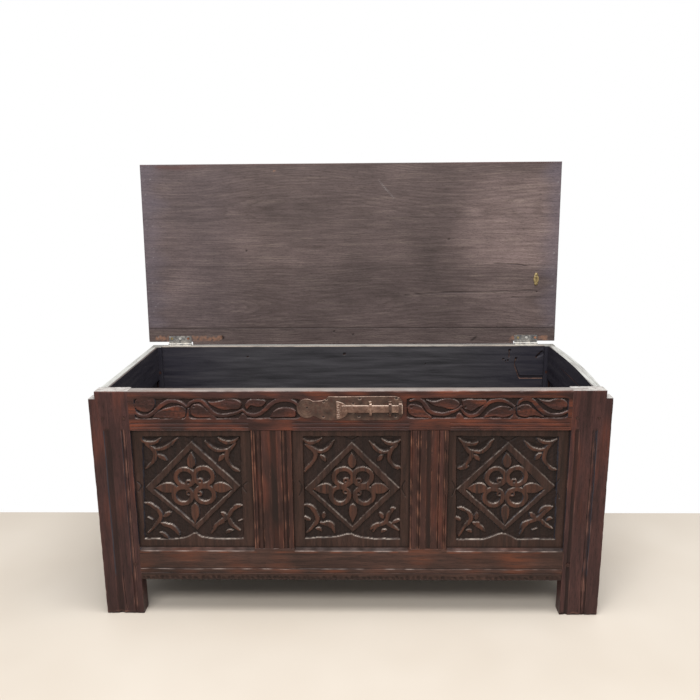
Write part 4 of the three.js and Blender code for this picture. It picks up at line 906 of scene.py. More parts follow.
def rail_lines(node, inner, pitch, extra=(), fine=()):
    """Grid lines along a rail: close ones between its shoulders and few along its tenons."""
    x0, x1 = span(node, 0)
    face = steps(-inner, inner, pitch, fine=fine)
    return np.concatenate([[x0, *(-e for e in extra), -inner - 0.2], face, [inner + 0.2, *extra, x1]])


def tenoned(tenon, relief, back, tenon_face=TENON_FACE, tenon_back=TENON_BACK):
    """A board's face and back, with thin tenons beyond its shoulders."""
    return np.where(tenon, tenon_face, np.minimum(relief, SKIN)), np.where(tenon, tenon_back, back)


# %%
z0, z1 = span("front_top_rail", 2)
us = rail_lines("front_top_rail", STILE_INNER, 1.65, (523,))
vs = steps(z0, z1, 1.3, at=(489.3, 543))
u, v = lattice(us, vs)
x = u + 0.5 * waves(u, v, 40, 101) + 0.25 * waves(u, v, 12, 102)
z = v - STRIP_Z + 0.5 * waves(u, v, 36, 103) + 0.25 * waves(u, v, 11, 104)
sunk = np.full(u.shape, -1e3)
for across, up in STRIPS:
    bow = 5 * (1 - np.clip(limits(x, across), 0, 14) / 14) ** 2
    sunk = np.maximum(sunk, np.minimum(limits(x, across), limits(z + STRIP_Z, up)) - bow)
vine = np.minimum.reduce([stroke(x, z, line, [2.2, 3.6, 4.1, 4.1, 3.6, 2.4]) for line in VINES])
leaves = np.minimum.reduce([outline_field(x, z, edge) for edge in LEAVES])
raised = np.minimum(np.minimum(vine, leaves), sunk)
relief = carve(raised, 3.6, 1.5, 1.8) + ramp01(0.3, 2, raised) * (0.3 * waves(x, z, 8, 105) - 0.3)
beside = np.abs(vine) * (leaves < 0) + 9 * (leaves >= 0)
relief -= 1.5 * fade(0.2, 1.6, beside) * (vine > -0.5)
gouged = np.clip(waves(x * 0.7, z, 9, 106) * 0.8 + 0.5 * waves(x, z, 5, 113), -1, 1)
relief -= 0.55 * ramp01(1.5, 4, -leaves) * (1 + gouged)
# Painted shade on the sunk ground and in the gouges of the leaves; the eyes and the lines below get it too.
deep = np.maximum(0.8 * ramp01(0.1, 1.8, raised), 0.5 * ramp01(1.5, 4, -leaves) * unit(gouged))
for a, b in EYES:
    relief, deep = pit(relief, deep, np.hypot(x - a, z - b), (2.2, 1.6, 3.2), (1, 1.5, 3.4))
for opening in OPENINGS_X:
    along = ramp01(0, 3, limits(u, opening) - 1)
    for rise, half, depth in EDGE_LINES:
        line = np.abs(v - z0 - rise)
        relief, deep = pit(relief, deep, line, (along * depth, 0.2, half + 0.5),
                           (0.7 * along, 0.2, half))
relief += 0.3 * waves(u, v, 90, 107) - 0.32
from_top = z1 - v
chips = unit(waves(u, v * 0 + 4, 55, 108) - 0.55)
for chip_x, width in ((500, 4), (388, 5)):
    chips = chips + 0.7 * np.exp(-((u - chip_x) / width) ** 2)
relief += rounded(from_top, 2.6) - chips * 2.4 * fade(0, 5, from_top) + rounded(v - z0, 1.2)
print("top rail", u.shape)

# %%
# Painted highlights on slopes that face up and along the top arris.
on_edge = v < z0 + 26
lit = lit_arris(v, relief, 1.4) ** 2 * ramp01(-3.0, -1.2, relief) * np.where(on_edge, 0.35, 1)
worn = 0.9 * lit * (0.4 + 0.6 * toward_light(u, v, relief)) * hand_worn(u, v, 26, 109, 0.35)
worn = np.maximum(worn, fade(0, 1.5, from_top) * 0.2 * hand_worn(u, v * 0, 30, 110, 0))
redder = 0.1 + 0.35 * ramp01(-300, 400, u)
red = unit(redder + 0.7 * waves(u, v * 2, 70, 111)) * fade(-1, 0.6, raised)
red = np.maximum(red, unit(redder + 0.8 * waves(u, v, 90, 112)) * on_edge)
tenon = np.abs(u) > STILE_INNER + 0.1
board("carved_top_rail", "case", OAK["rail"], "oak_red", us, vs, *tenoned(tenon, relief, TOP_RAIL_BACK),
      shift=lambda a, b: (a, b + 0.1 * (np.abs(a) > STILE_INNER + 0.1)),
      keep=lambda a, b: (np.abs(a) < STILE_INNER + 0.1) | ((b > 489.3) & ((a > 0) | (b < 543))),
      stands_for=("front_top_rail",), worn=unit(worn), deep=np.where(tenon, 0.3, deep), red=red)

# %% [markdown]
# ## The bottom rail
# Its lower edge is nicked with a gouge below a raised arris. A stopped chamfer runs along its top edge
# in each opening. The arris below the chamfer and a line above the nicks are painted bright as
# highlights; the nicks and grooves get painted shade, and the chamfer's slope is painted darker.

# %%
CHAMFER, CHAMFER_DEPTH, RAISED_LINE = 6.2, 7.2, 29.2
NICKED_SHARE = 0.45
z0, z1 = span("front_bottom_rail", 2)
us = rail_lines("front_bottom_rail", STILE_INNER, 1.8)
vs = steps(z0, z1, 1.3, at=(101.5, 161.5))
u, v = lattice(us, vs)
rise, from_top = v - z0, z1 - v
wander = 0.5 * waves(u, v, 110, 121)
mould = moulded((rise + wander) / (z1 - z0), MOULDINGS["front_bottom_rail"])
strip = fade(15, 18, rise + wander)
rng = np.random.default_rng(12)
nick = np.zeros(u.shape)
place = -STILE_INNER + 6
while place < STILE_INNER - 6:
    width, lean, top = rng.uniform(5.0, 8.2), rng.uniform(-0.5, 0.1), rng.uniform(9, 14.5)
    off = np.hypot((u - place - lean * rise) / width, (rise - top * NICKED_SHARE) / (top * 0.62))
    nick = np.maximum(nick, rng.uniform(0.55, 1) * fade(0.35, 1.0, off))
    place += width * rng.uniform(1.6, 2.3)
relief = mould - (strip * (1.6 + 2.4 * nick) + (1 - strip) * 0.25 * (1 + waves(u, v, 70, 122)))
relief += rounded(rise, 1.6) * (1 + 1.3 * unit(waves(u, v * 0, 26, 123)))
stops = np.maximum.reduce([limits(u, (max(a, -503), min(b, 503))) for a, b in OPENINGS_X])
chamfered = ramp01(0, 3, stops)
chamfer = CHAMFER_DEPTH * fade(0, CHAMFER, from_top)
relief -= chamfered * chamfer + (1 - chamfered) * -rounded(from_top, 1.0)
print("bottom rail", u.shape)

# %%
# Painted highlights on slopes that face up, on the arris below the chamfer and on the line above the nicks.
slope = chamfered * fade(CHAMFER - 0.6, CHAMFER, from_top)
worn = 0.8 * lit_arris(v, relief, 1.5) ** 2 * hand_worn(u, v, 34, 124, -0.05)
worn *= (1 - 0.45 * strip) * (1 - 0.85 * slope)
arris = fade(0.3, 1.5, np.abs(from_top - CHAMFER - 0.3))
worn = np.maximum(worn, 0.9 * chamfered * arris * hand_worn(u, v * 0, 60, 127, 0.25))
raised_line = fade(0.2, 1.3, np.abs(rise + wander - RAISED_LINE))
worn = np.maximum(worn, 0.85 * raised_line * hand_worn(u, v * 0, 30, 128, -0.1))
red = unit(0.6 * waves(u, v, 150, 125)) * (1 - strip)
for away, band, seed in ((from_top, (CHAMFER + 0.5, CHAMFER + 5), 126), (rise, (17.5, 27), 129)):
    patchy = unit(0.35 + 1.1 * waves(u, v * 0, 60, seed))
    red = np.maximum(red, 0.95 * ramp01(-1, 1, limits(away, band)) * patchy)
# Painted shade in the nicks and grooves, and the chamfer's slope painted darker.
deep = np.maximum(strip * (0.3 + 0.6 * nick), 0.7 * unit(-mould / 2))
deep = np.maximum(deep, slope * (0.55 + 0.3 * waves(u, v, 25, 130)))
tenon = np.abs(u) > STILE_INNER + 0.1
board("nicked_bottom_rail", "case", OAK["foot_rail"], "oak_red", us, vs,
      *tenoned(tenon, relief, BOTTOM_RAIL_BACK),
      keep=lambda a, b: (np.abs(a) < STILE_INNER + 0.1) | between(b, 101.5, 161.5),
      stands_for=("front_bottom_rail",), worn=unit(worn), deep=unit(deep), red=red)

# %% [markdown]
# ## Muntins and stiles
# Their mouldings run up the face. On the stiles they stop at the top rail, where the face is plain.

# %%
OPENING_LOW, OPENING_HIGH, TENON_IN = 174.5, 471.0, 10
for seed, node in enumerate(("front_left_muntin", "front_right_muntin")):
    (x0, x1), (z0, z1) = span(node, 0), span(node, 2)
    us = steps(x0, x1, 0.85, at=(x0 + TENON_IN, x1 - TENON_IN))
    face_v = steps(OPENING_LOW + 0.3, OPENING_HIGH - 0.3, 2.4)
    vs = np.concatenate([[z0, OPENING_LOW + 0.1], face_v, [OPENING_HIGH - 0.1, z1]])
    u, v = lattice(us, vs)
    share = (u - x0 + 0.35 * waves(u * 0.2, v, 150, seed + 131)) / (x1 - x0)
    mould = moulded(share, MOULDINGS[node])
    relief = mould - 0.22 * (1 + waves(u * 2, v, 120, seed + 133))
    relief += rounded(limits(u, (x0, x1)), 1.0)
    relief -= 0.8 * unit(waves(u * 2, v, 20, seed + 135) - 0.7) * unit(convex(relief) * 4)
    # Crests and ridges are painted pale, partly rubbing and partly a painted highlight; hollows and grooves
    # get painted shade.
    worn = 0.7 * np.maximum(reed_crests(share, MOULDINGS[node]), unit(convex(relief) * 3 - 0.25))
    worn *= hand_worn(u * 2, v, 40, seed + 137, 0)
    red = 0.55 * unit(0.2 + 0.9 * waves(u, v * 0.4, 60, seed + 139))
    deep = np.clip(-convex(relief) * 3 - 0.05, 0, 0.9)
    deep = np.maximum(deep, 0.8 * unit(-mould / 1.8) ** 0.7)
    shown = OPENING_LOW + 0.2, OPENING_HIGH - 0.2
    board(node.replace("front", "moulded"), "case", OAK["muntin"], "oak_dark", us, vs,
          *tenoned(~between(v, *shown), relief, MUNTIN_BACK),
          keep=lambda a, b: between(b, *shown) | between(a, x0 + TENON_IN, x1 - TENON_IN),
          stands_for=(node,), worn=worn, deep=deep, red=red)

# %%
NOTCH_WIDTH, NOTCH_DROP = 15.5, 18.0
for seed, (node, side) in enumerate((("front_left_stile", -1), ("front_right_stile", 1))):
    (x0, x1), (z0, z1) = span(node, 0), span(node, 2)
    notch_x = x0 + NOTCH_WIDTH if side < 0 else x1 - NOTCH_WIDTH
    shoulder = z1 - NOTCH_DROP
    us = steps(x0, x1, 0.95, at=(notch_x,))
    vs = steps(z0, z1, 2.2, at=(shoulder,))
    u, v = lattice(us, vs)
    share = (u - x0 + 0.6 * waves(u * 0.2, v, 190, seed + 151)) / (x1 - x0)
    below_rail = fade(OPENING_HIGH - 4, OPENING_HIGH + 6, v)
    mould = moulded(share, MOULDINGS[node]) * below_rail
    relief = mould - 0.35 * (1 + waves(u * 2, v * 0.8, 130, seed + 153))
    outer, inner = (u - x0, x1 - u)[:: -side]
    ragged = 1 + 1.2 * unit(waves(u * 0, v, 34, seed + 155))
    relief += rounded(outer, 2.4) * ragged + rounded(inner, 0.9)
    relief -= 2.6 * fade(0, 7, v - z0 + 3 * waves(u, v * 0, 17, seed + 157))
    relief += rounded(z1 - v, 2.4) * (outer > NOTCH_WIDTH - 0.1)
    relief += rounded(shoulder - v, 3.0) * (outer < NOTCH_WIDTH) * (v < shoulder)
    split = stroke(u, v, [(x0 + 50, 15), (x0 + 47, 90), (x0 + 52, 190)], [0.1, 0.35, 0.1])
    relief -= 1.2 * fade(0, 0.9, split) * fade(90, 175, v)
    # Crests and ridges are painted pale, partly rubbing and partly a painted highlight; hollows and grooves
    # get painted shade.
    crest = reed_crests(share, MOULDINGS[node]) * below_rail
    worn = 0.6 * np.maximum(crest, unit(convex(relief) * 2.6 - 0.3))
    worn *= hand_worn(u * 2, v, 60, seed + 159, 0)
    red = unit(0.7 * waves(u * 2, v * 0.5, 90, seed + 161)) * ramp01(120, 420, v)
    deep = np.clip(-convex(relief) * 2.5 - 0.05, 0, 0.85)
    deep = np.maximum(deep, 0.75 * unit(-mould / 2.2) ** 0.4)
    board(node.replace("front", "moulded"), "case", OAK["stile"], "oak_dark", us, vs,
          np.minimum(relief, SKIN), STILE_BACK,
          keep=lambda a, b: (b < shoulder) | ((a - notch_x) * side < 0),
          stands_for=(node,), worn=worn, deep=deep, red=red)
print("two rails, two muntins and two stiles remade")

# %% [markdown]
# ## The lid's boards
# The lid leans back three degrees, so its boards are built on a leaning plane. Oak figure follows
# growth rings round a pith that runs just behind the face, which gives arches along it and lines
# beside it. Between the hinges the lowest board reaches a little further down, and glued edges
# overlap by a hair.

# %%
LEAN = math.radians(3)
LEAN_UP = np.array([0, math.sin(LEAN), math.cos(LEAN)])
LID_FOOT = np.array([0.0, front_y + 478.5, 572.93])
LID = (LID_FOOT, RIGHT, LEAN_UP)
LID_THICKNESS, LID_TOP = 20, 500
LID_BOARDS = {
    "lid_hinge_board": dict(pith=95.0, depth=70.0, fall=10.0, seed=201, ring=5.2),
    "lid_rear_board": dict(pith=112.0, depth=30.0, fall=46.0, seed=211, ring=6.5),
    "lid_middle_board": dict(pith=-150.0, depth=160.0, fall=20.0, seed=221, ring=4.2),
    "lid_front_board": dict(pith=366.0, depth=44.0, fall=30.0, seed=231, ring=5.2),
}
HOLES = [(-298, 261, 2.6), (273, 290, 2.2), (-52, 29, 2.4), (3, 19, 2.2), (524, 141, 1.6),
         (-376, 11, 5.2)]
CRACKS = [([(150, 133), (260, 140), (360, 141), (470, 144), (536, 147)], 0.3),
          ([(452, 126), (520, 127), (570, 127)], 0.2), ([(400, 222), (470, 218), (495, 214)], 0.35),
          ([(-588, 38.4), (-200, 38.9), (580, 38)], 0.25)]
LOW_EDGE, HINGE_GAP, GLUED = 9.2, 462.0, 0.38
HINGE_PATCHES = [(-570, -532), (-463, -376), (452, 468), (532, 563)]


def rings(x, s, pith, depth, fall, seed, ring):
    away = depth + fall * (waves(x, x * 0, 1300, seed, 4) + 0.5 * waves(x, x * 0, 600, seed + 1, 4))
    centre = pith + 9 * waves(x, x * 0, 600, seed + 2, 4)
    return (np.hypot(s - centre, away) + 3.2 * waves(x * 0.25, s, 60, seed + 3)) / ring


def plank_tone(x, s, seed):
    """How light the lid's inner face is: paler at the right, darker toward its hinges, and darker toward
    its top as painted shade.
    """
    tone = 0.47 + 0.08 * waves(x * 0.3, s, 120, seed + 6)
    tone += 0.08 * fade(-300, -262, x) * ramp01(20, 60, s)
    tone -= 0.14 * ramp01(230, 420, s)
    tone += 0.22 * ramp01(250, 450, x) * fade(110, 190, s) * ramp01(38, 52, s)
    tone += 0.5 * ramp01(180, 480, x) * ramp01(190, 235, s) * fade(440, 495, s)
    tone += 0.08 * ramp01(215, 222, s) * fade(346, 351, s)
    return unit(tone - (0.12 * fade(34, 38, s) + 0.1 * ramp01(488, 497, s)))


def bare_patches(x, s, seed):
    """Where the cleats and the hinges' old leaves have left the wood raw."""
    raw = 0.7 * ramp01(0, 3, 5 - np.hypot(x + 213, (s - 480) * 1.5))
    for patch in HINGE_PATCHES:
        inside = np.minimum(limits(x, patch), limits(s, (-1, 18)))
        raw = np.maximum(raw, 0.9 * ramp01(0, 6, inside + 4 * waves(x, s, 14, seed + 8)))
    return raw


# %%
for node, figure in LID_BOARDS.items():
    (x0, x1), (z0, z1) = span(node, 0), span(node, 2)
    s0 = (z0 - LID_FOOT[2] + LID_THICKNESS * math.sin(LEAN)) / math.cos(LEAN)
    s1 = (z1 - LID_FOOT[2]) / math.cos(LEAN)
    lowest, highest = s0 < 20, s1 > 490
    s0, s1 = s0 - (LOW_EDGE if lowest else GLUED), s1 + GLUED * (not highest)
    us = steps(x0, x1, 3.2, fine=[(-376, 5, 1.2)] if lowest else ())
    vs = steps(s0, s1, 2.4, at=(0,) if lowest else ())
    u, v = lattice(us, vs)
    seed = figure["seed"]
    from_end = u - x0, x1 - u
    joint = np.minimum(99 if lowest else v - s0, 99 if highest else s1 - v)
    level = ramp01(0.5, 6, joint)
    relief = -0.12 * (1 + level * waves(u * 0.15, v, 22, seed + 5)) - 0.05
    deep = 0.35 * fade(0, 1.6, joint)
    for a, b, r in HOLES:
        away = np.hypot(u - a, v - b)
        relief, deep = pit(relief, deep, away, (2.2, r * 0.6, r * 1.3), (1, r * 0.8, r * 1.5))
    for line, half in CRACKS:
        away = stroke(u, v, line, [0.02, half, half, 0.02])
        relief, deep = pit(relief, deep, away, (0.9, 0, 1.2), (0.75, 0, 1.6))
    burn = stroke(u, v, [(343, 2), (352, 9), (357, 14)], [2, 3.2, 0.6])
    deep = np.maximum(deep, 0.85 * fade(-1, 2, burn))
    outer = 0.1 * (1 + level * waves(u * 0.15, v, 26, seed + 11)) + 0.7 * fade(0, 2.4, joint)
    if lowest:
        relief += rounded(v - np.where(np.abs(u) < HINGE_GAP, s0, 0), 0.8)
    if highest:
        relief += rounded(s1 - v, 1.6)
    relief += rounded(from_end[0], 1.8) + rounded(from_end[1], 1.8)
    outer -= rounded(from_end[0], 2.0) + rounded(from_end[1], 2.0)
    if highest:
        outer -= rounded(s1 - v, 2.0)
    ragged = u + 12 * waves(u * 0.2, v, 45, seed + 10)
    cool = 0.75 * fade(-585, -510, ragged) + 0.25 * fade(-420, -250, ragged)
    cool = np.maximum(cool, ramp01(515, 580, ragged)) * ramp01(30, 50, v)
    scratch = stroke(u, v, [(75, 455), (95, 430), (118, 405)], [0.1, 0.5, 0.1], False)
    specks = unit(waves(u, v, 9, seed + 9, 11) - 0.75) * (np.abs(u) > 556)
    worn = np.maximum(0.5 * fade(0, 1.3, scratch), 1.6 * specks)
    red = 0.9 * ramp01(478, 498, v) * fade(-480, -350, u) * ramp01(-560, -530, u)
    red = np.maximum(red, 0.6 * ramp01(494, 499, v))
    outer_tone = unit(0.52 + 0.22 * waves(u * 0.4, v, 160, seed + 12))
    from_rim = np.minimum(np.minimum(*from_end), LID_TOP - v)
    outer_worn = 0.5 * fade(0, 7, from_rim) * hand_worn(u, v, 60, seed + 13)
    grown = rings(u, v, **figure) + 40
    board(node.replace("lid_", "lid_plank_"), "lid", OAK["lid"], "oak_lid", us, vs,
          np.minimum(relief, SKIN), outer - (LID_THICKNESS + SKIN), axes=LID, stands_for=(node,),
          keep=lambda a, b: (b > 0) | (np.abs(a) < HINGE_GAP),
          deep=(deep, 0.85 * fade(0.4, 2.6, joint)), worn=(worn, outer_worn), ring=(grown, grown),
          tone=(plank_tone(u, v, seed), outer_tone), cool=unit(cool), red=red,
          raw=bare_patches(u, v, seed))
print("four lid boards, leaning", round(math.degrees(LEAN), 1), "degrees")

# %% [markdown]
# ## Inside the back
# A small box once hung at the right end. Only its housings are left: a pale line where its floor was
# let in, a crooked one for its front, and a few old nail holes. They are measured down from the top.

# %%
REAR_INNER = 545.0
NAIL_HOLES = [(449, 14, 3.6), (468, 38, 3.6), (432, 39, 2.4), (445, 43, 2.0), (-22, 23, 3.2),
              (-300, 30, 2.0), (438, 45, 1.6), (210, 52, 1.4)]
z0, z1 = span("back_top_rail", 2)
us = rail_lines("back_top_rail", REAR_INNER, 2.6, fine=[(465, 30, 1.2)])
vs = steps(z0, z1, 2.0, at=(433, 543), fine=[(470, 6, 0.8)])
u, v = lattice(us, vs)
below = z1 - v
floor_cut = np.minimum(limits(u, (479, 546)), limits(below, (89, 97)))
front_cut = stroke(u, below, [(467, 40), (466, 58), (472, 76), (479, 93)], [2.6, 2.2, 2.0, 2.6])
short_cut = stroke(u, below, [(449, 15), (448, 33)], [2.4, 1.4], False)
corner = stroke(u, below, [(526, 33), (541, 22)], [1.5, 5.5], False)
upright_cut = np.maximum(-front_cut, -short_cut)
relief = -0.3 * (1 + waves(u * 0.2, v, 60, 301)) - 0.05
relief -= 3.2 * ramp01(-0.4, 1.2, np.maximum(floor_cut, upright_cut))
# The upper part of the floor's housing is painted dark as the shade under its lip.
deep = 0.9 * ramp01(-0.6, 1, floor_cut) * fade(91, 92.5, below)
relief, deep = pit(relief, deep, corner, (2.5, -1, 1.5), (1, -1, 2.5))
for a, b, r in NAIL_HOLES:
    away = np.hypot(u - a, below - b)
    relief, deep = pit(relief, deep, away, (3.0, r * 0.6, r * 1.2), (1, r * 0.8, r * 1.4))
raw = np.maximum.reduce([0.95 * ramp01(0, 1, np.minimum(floor_cut + 0.4, below - 92)),
                         0.8 * ramp01(-0.5, 1.2, upright_cut),
                         0.8 * fade(2, 4, np.hypot(u - 534, below - 33))])
tenon = np.abs(u) > REAR_INNER + 0.1
board("marked_back_rail", "case", OAK["case"], "oak_inside", us, vs,
      *tenoned(tenon, relief + rounded(below, 1.6), -22.0, -7.0, -15.0),
      axes=(np.array([0.0, span("back_top_rail", 1)[0], 0.0]), RIGHT, UP),
      keep=lambda a, b: (np.abs(a) < REAR_INNER + 0.1) | between(b, 433, 543),
      stands_for=("back_top_rail",), deep=deep, raw=raw, worn=0.8 * fade(0, 2.2, below))
print("back rail with its housings", u.shape)

# %% [markdown]
# ## Softened arrises
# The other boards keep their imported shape, with a bevel where hands and feet have rounded the edges.
# The hinges' leaves and the catch's plate get a finer one.

# %%
BOARD_ARRIS, METAL_ARRIS = 1.2, 0.45
for node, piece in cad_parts.items():
    is_board = re.search("^rear.*stile|_end_(?!.*panel)", node)
    if is_board or "leaf" in node or node == "lid_stay_plate":
        bevel = piece.modifiers.new("soft_arris", "BEVEL")
        bevel.width = (BOARD_ARRIS if is_board else METAL_ARRIS) * MM
        bevel.segments = 2
        bevel.limit_method = "ANGLE"
        bevel.angle_limit = math.radians(35)
        bevel.use_clamp_overlap = True
print("arrises softened")

# %% [markdown]
# ## The lock plate
# Thin iron cut by hand: a body with worn corners, a waisted neck and a round lobe marked with turned
# rings. Most of its nails are gone. Their holes have raised lips, so the face is a height field, and the
# rows of its grid follow the outline. Its upper edge and the lower half of each lip are painted pale as
# highlights; the holes, the hole in the lobe and the plate under the bolt are painted dark as shade.

# %%
LOBE_RADIUS, LOBE_Z, NECK_X = 22.5, 524.5, -81.5
plate_left, plate_right = span("lock_plate", 0)
lobe_x = plate_left + LOBE_RADIUS
plate_face = front_y - span("lock_plate", 1)[0]
UPPER_EDGE = [(NECK_X, 17.2), (-62, 18.5), (-52, 22), (-46, 28.2), (-20, 27.8), (60, 28.4), (104, 28.2),
              (114, 25.5), (121, 17)]
LOWER_EDGE = [(NECK_X, 17.2), (-74, 19.5), (-66, 24.5), (-58, 27), (-45, 28.4), (100, 28.3), (112, 27),
              (121, 20)]
PLATE_HOLES = [(24.3, 548.4, 1.9), (107.2, 548.6, 2.1), (9.5, 536.7, 1.7), (9.4, 515.1, 1.5),
               (22.5, 505.8, 1.6), (105.7, 505.7, 1.8), (-58.4, 505, 1.7), (-51, 546, 1.3),
               (-57, 540, 1.2), (90, 512.2, 1.4)]


def half_height(x, edge):
    circle = np.sqrt(np.clip(LOBE_RADIUS**2 - (x - lobe_x) ** 2, 0, None))
    return np.where(x < NECK_X, circle, np.interp(x, *zip(*edge)))


def on_plate(across, up):
    edges = half_height(across, UPPER_EDGE), half_height(across, LOWER_EDGE)
    return across, LOBE_Z + up * np.where(up > 0, *edges)


round_u = lobe_x - LOBE_RADIUS * np.cos(np.linspace(0.1, 2.25, 40))
us = np.concatenate([round_u, steps(NECK_X + 0.8, plate_right, 1.2)])
vs = np.sin(np.linspace(-np.pi / 2, np.pi / 2, 57))
u, v = lattice(us, vs)
x, z = on_plate(u, v)
from_lobe = np.hypot(x - lobe_x, z - LOBE_Z)
from_edge = np.where(v > 0, LOBE_Z + half_height(x, UPPER_EDGE) - z,
                     z - LOBE_Z + half_height(x, LOWER_EDGE))
from_edge = np.minimum(from_edge, plate_right - x)
from_edge = np.where(x < NECK_X, np.minimum(from_edge, LOBE_RADIUS - from_lobe), from_edge)
relief = 0.16 * waves(x, z, 26, 401) + 0.1 * waves(x, z, 9, 402) - 0.42 + rounded(from_edge, 0.9)
relief += 0.16 * np.cos(from_lobe * 2 * np.pi / 5.2) * (from_lobe < 19) * (x < NECK_X + 4)
# Painted highlight along the plate's edge, full on the upper edge and faint on the lower.
worn = fade(0.2, 1.5, from_edge) * hand_worn(x, z, 40, 403, 0) * np.where(v > 0, 1, 0.3)
# Painted shade in the hole through the lobe, which is also sunk.
deep = fade(1.2, 2.8, np.hypot(x - lobe_x - 1, z - LOBE_Z - 2))
relief -= 1.2 * deep
for a, b, r in PLATE_HOLES:
    away = np.hypot(x - a, z - b)
    lip = np.exp(-((away - r * 1.9) / 0.8) ** 2)
    # Painted highlight on the lower half of each lip.
    worn = np.maximum(worn, 0.8 * lip * unit((b - z) / r + 0.3))
    relief, deep = pit(relief + 0.3 * lip, deep, away, (1.3, r * 0.5, r * 1.2), (1, r * 0.9, r * 1.7))
# Painted shadow of the bolt on the plate below it.
under_bolt = limits(x, (-30, 116)) * (limits(z, (494, 516)) > 0)
deep = np.maximum(deep, 0.5 * ramp01(0, 6, under_bolt) * ramp01(0, 12, z - 496))
board("lock_plate_iron", "case", METAL["plate_iron"], "old_iron", us, vs,
      plate_face + np.minimum(relief, -0.01), 0.04, shift=on_plate, stands_for=("lock_plate",),
      worn=unit(worn), deep=unit(deep))
print("lock plate", u.shape)

# %% [markdown]
# ## The bolt, its straps and its keeper
# The bolt was drawn out as a bar and its end spread into a fan for the thumb: half of a flattened disc,
# with file cuts along its edge. The straps are strips bent over the bar: one foot is drawn, its edge is
# extruded up the bends, and Solidify gives the strip its thickness.

# %%
def applied():
    bpy.ops.object.transform_apply(location=True, rotation=True, scale=True)
    return bpy.context.object


def apply_modifier(kind, **settings):
    piece = bpy.context.object
    added = piece.modifiers.new(kind.lower(), kind)
    for key, value in settings.items():
        setattr(added, key, value)
    bpy.ops.object.modifier_apply(modifier=added.name)


def bevelled(width, segments=3, angle=40):
    apply_modifier("BEVEL", width=width * MM, segments=segments, limit_method="ANGLE",
                   angle_limit=math.radians(angle))
    return bpy.context.object


def cut_away(piece, cutter, **settings):
    alone(piece)
    apply_modifier("BOOLEAN", operation="DIFFERENCE", object=cutter, solver="EXACT", **settings)
    bpy.data.objects.remove(cutter)


def block(place, size, rotation=(0, 0, 0)):
    bpy.ops.object.select_all(action="DESELECT")
    bpy.ops.mesh.primitive_cube_add(size=1, location=np.array(place) * MM, rotation=rotation,
                                    scale=np.array(size) * MM)
    return bpy.context.object


def disc(place, size, vertices):
    """A flat drum whose axis runs from front to back."""
    bpy.ops.object.select_all(action="DESELECT")
    bpy.ops.mesh.primitive_cylinder_add(
        vertices=vertices, radius=1, depth=1, rotation=(math.pi / 2, 0, 0),
        location=np.array(place) * MM, scale=np.array(size) * MM)
    return bpy.context.object


def bar(low, high, arris):
    """A block between two corners in mm, with worn arrises."""
    low, high = np.array(low, float), np.array(high, float)
    block((low + high) / 2, high - low)
    applied()
    return bevelled(arris)


def stud(place, size):
    """A nail head, a little flat on its face."""
    bpy.ops.object.select_all(action="DESELECT")
    bpy.ops.mesh.primitive_uv_sphere_add(
        segments=20, ring_count=10, radius=1, location=np.array(place) * MM,
        scale=np.array(size) * MM)
    return applied()


def joined(pieces, materials=()):
    for piece, material in zip(pieces, materials):
        piece.data.materials.append(material)
    bpy.ops.object.select_all(action="DESELECT")
    for piece in pieces:
        piece.select_set(True)
    bpy.context.view_layer.objects.active = pieces[0]
    bpy.ops.object.join()
    return bpy.context.object


def finished(name, body, stands_for, material=None):
    """Give the active piece its name, its finish and the body that it moves with."""
    piece = applied()
    piece.name = piece.data.name = name
    if material:
        piece.data.materials.clear()
        piece.data.materials.append(material)
    bpy.ops.object.shade_smooth_by_angle(angle=math.radians(40))
    belongs(piece, body, (stands_for,))
    corners = np.array(piece.bound_box) / MM
    print(name, corners[0].round(1), corners[6].round(1))


# %%
(bolt_left, bolt_right), (bolt_front, bolt_back) = span("lock_bolt", 0), span("lock_bolt", 1)
BAR_LOW, BAR_HIGH = 516.0, 533.0
FAN_Z, FAN_RISE, FAN_REACH, FAN_THICK = 521.0, 21.0, 27.0, 4.5
FILE_CUTS, CUT_PITCH = 9, 4.1
rod = bar((bolt_left + 12, bolt_front, BAR_LOW), (bolt_right, bolt_back, BAR_HIGH), 1.3)
fan = disc((bolt_left, bolt_back - FAN_THICK / 2, FAN_Z), (FAN_REACH, FAN_RISE, FAN_THICK),
           56)
applied()
bpy.ops.object.mode_set(mode="EDIT")
bpy.ops.mesh.select_all(action="SELECT")
bpy.ops.mesh.bisect(plane_co=(bolt_left * MM, 0, 0), plane_no=(1, 0, 0), use_fill=True,
                    clear_inner=True)
bpy.ops.object.mode_set(mode="OBJECT")
bevelled(1.1)

fan_face = bolt_back - FAN_THICK
cuts = [block((bolt_left + 5.2, fan_face, FAN_Z - 16.5 + CUT_PITCH * number),
              (6.4 - 0.5 * (number % 2), 1.3, 1.3), (math.pi / 4, 0, 0.05))
        for number in range(FILE_CUTS)]
cuts += [disc((bolt_left + x, fan_face, FAN_Z + z), (1.1, 1.1, 3), 12)
         for x, z in ((9.5, 16.5), (13.5, 14.5))]
cut_away(fan, joined(cuts), use_self=True)
joined([fan, rod])
finished("forged_bolt", "bolt", "lock_bolt", METAL["bolt_iron"])

# %%
STRIP = 2.2
OVER_BOLT = bolt_front - 0.3


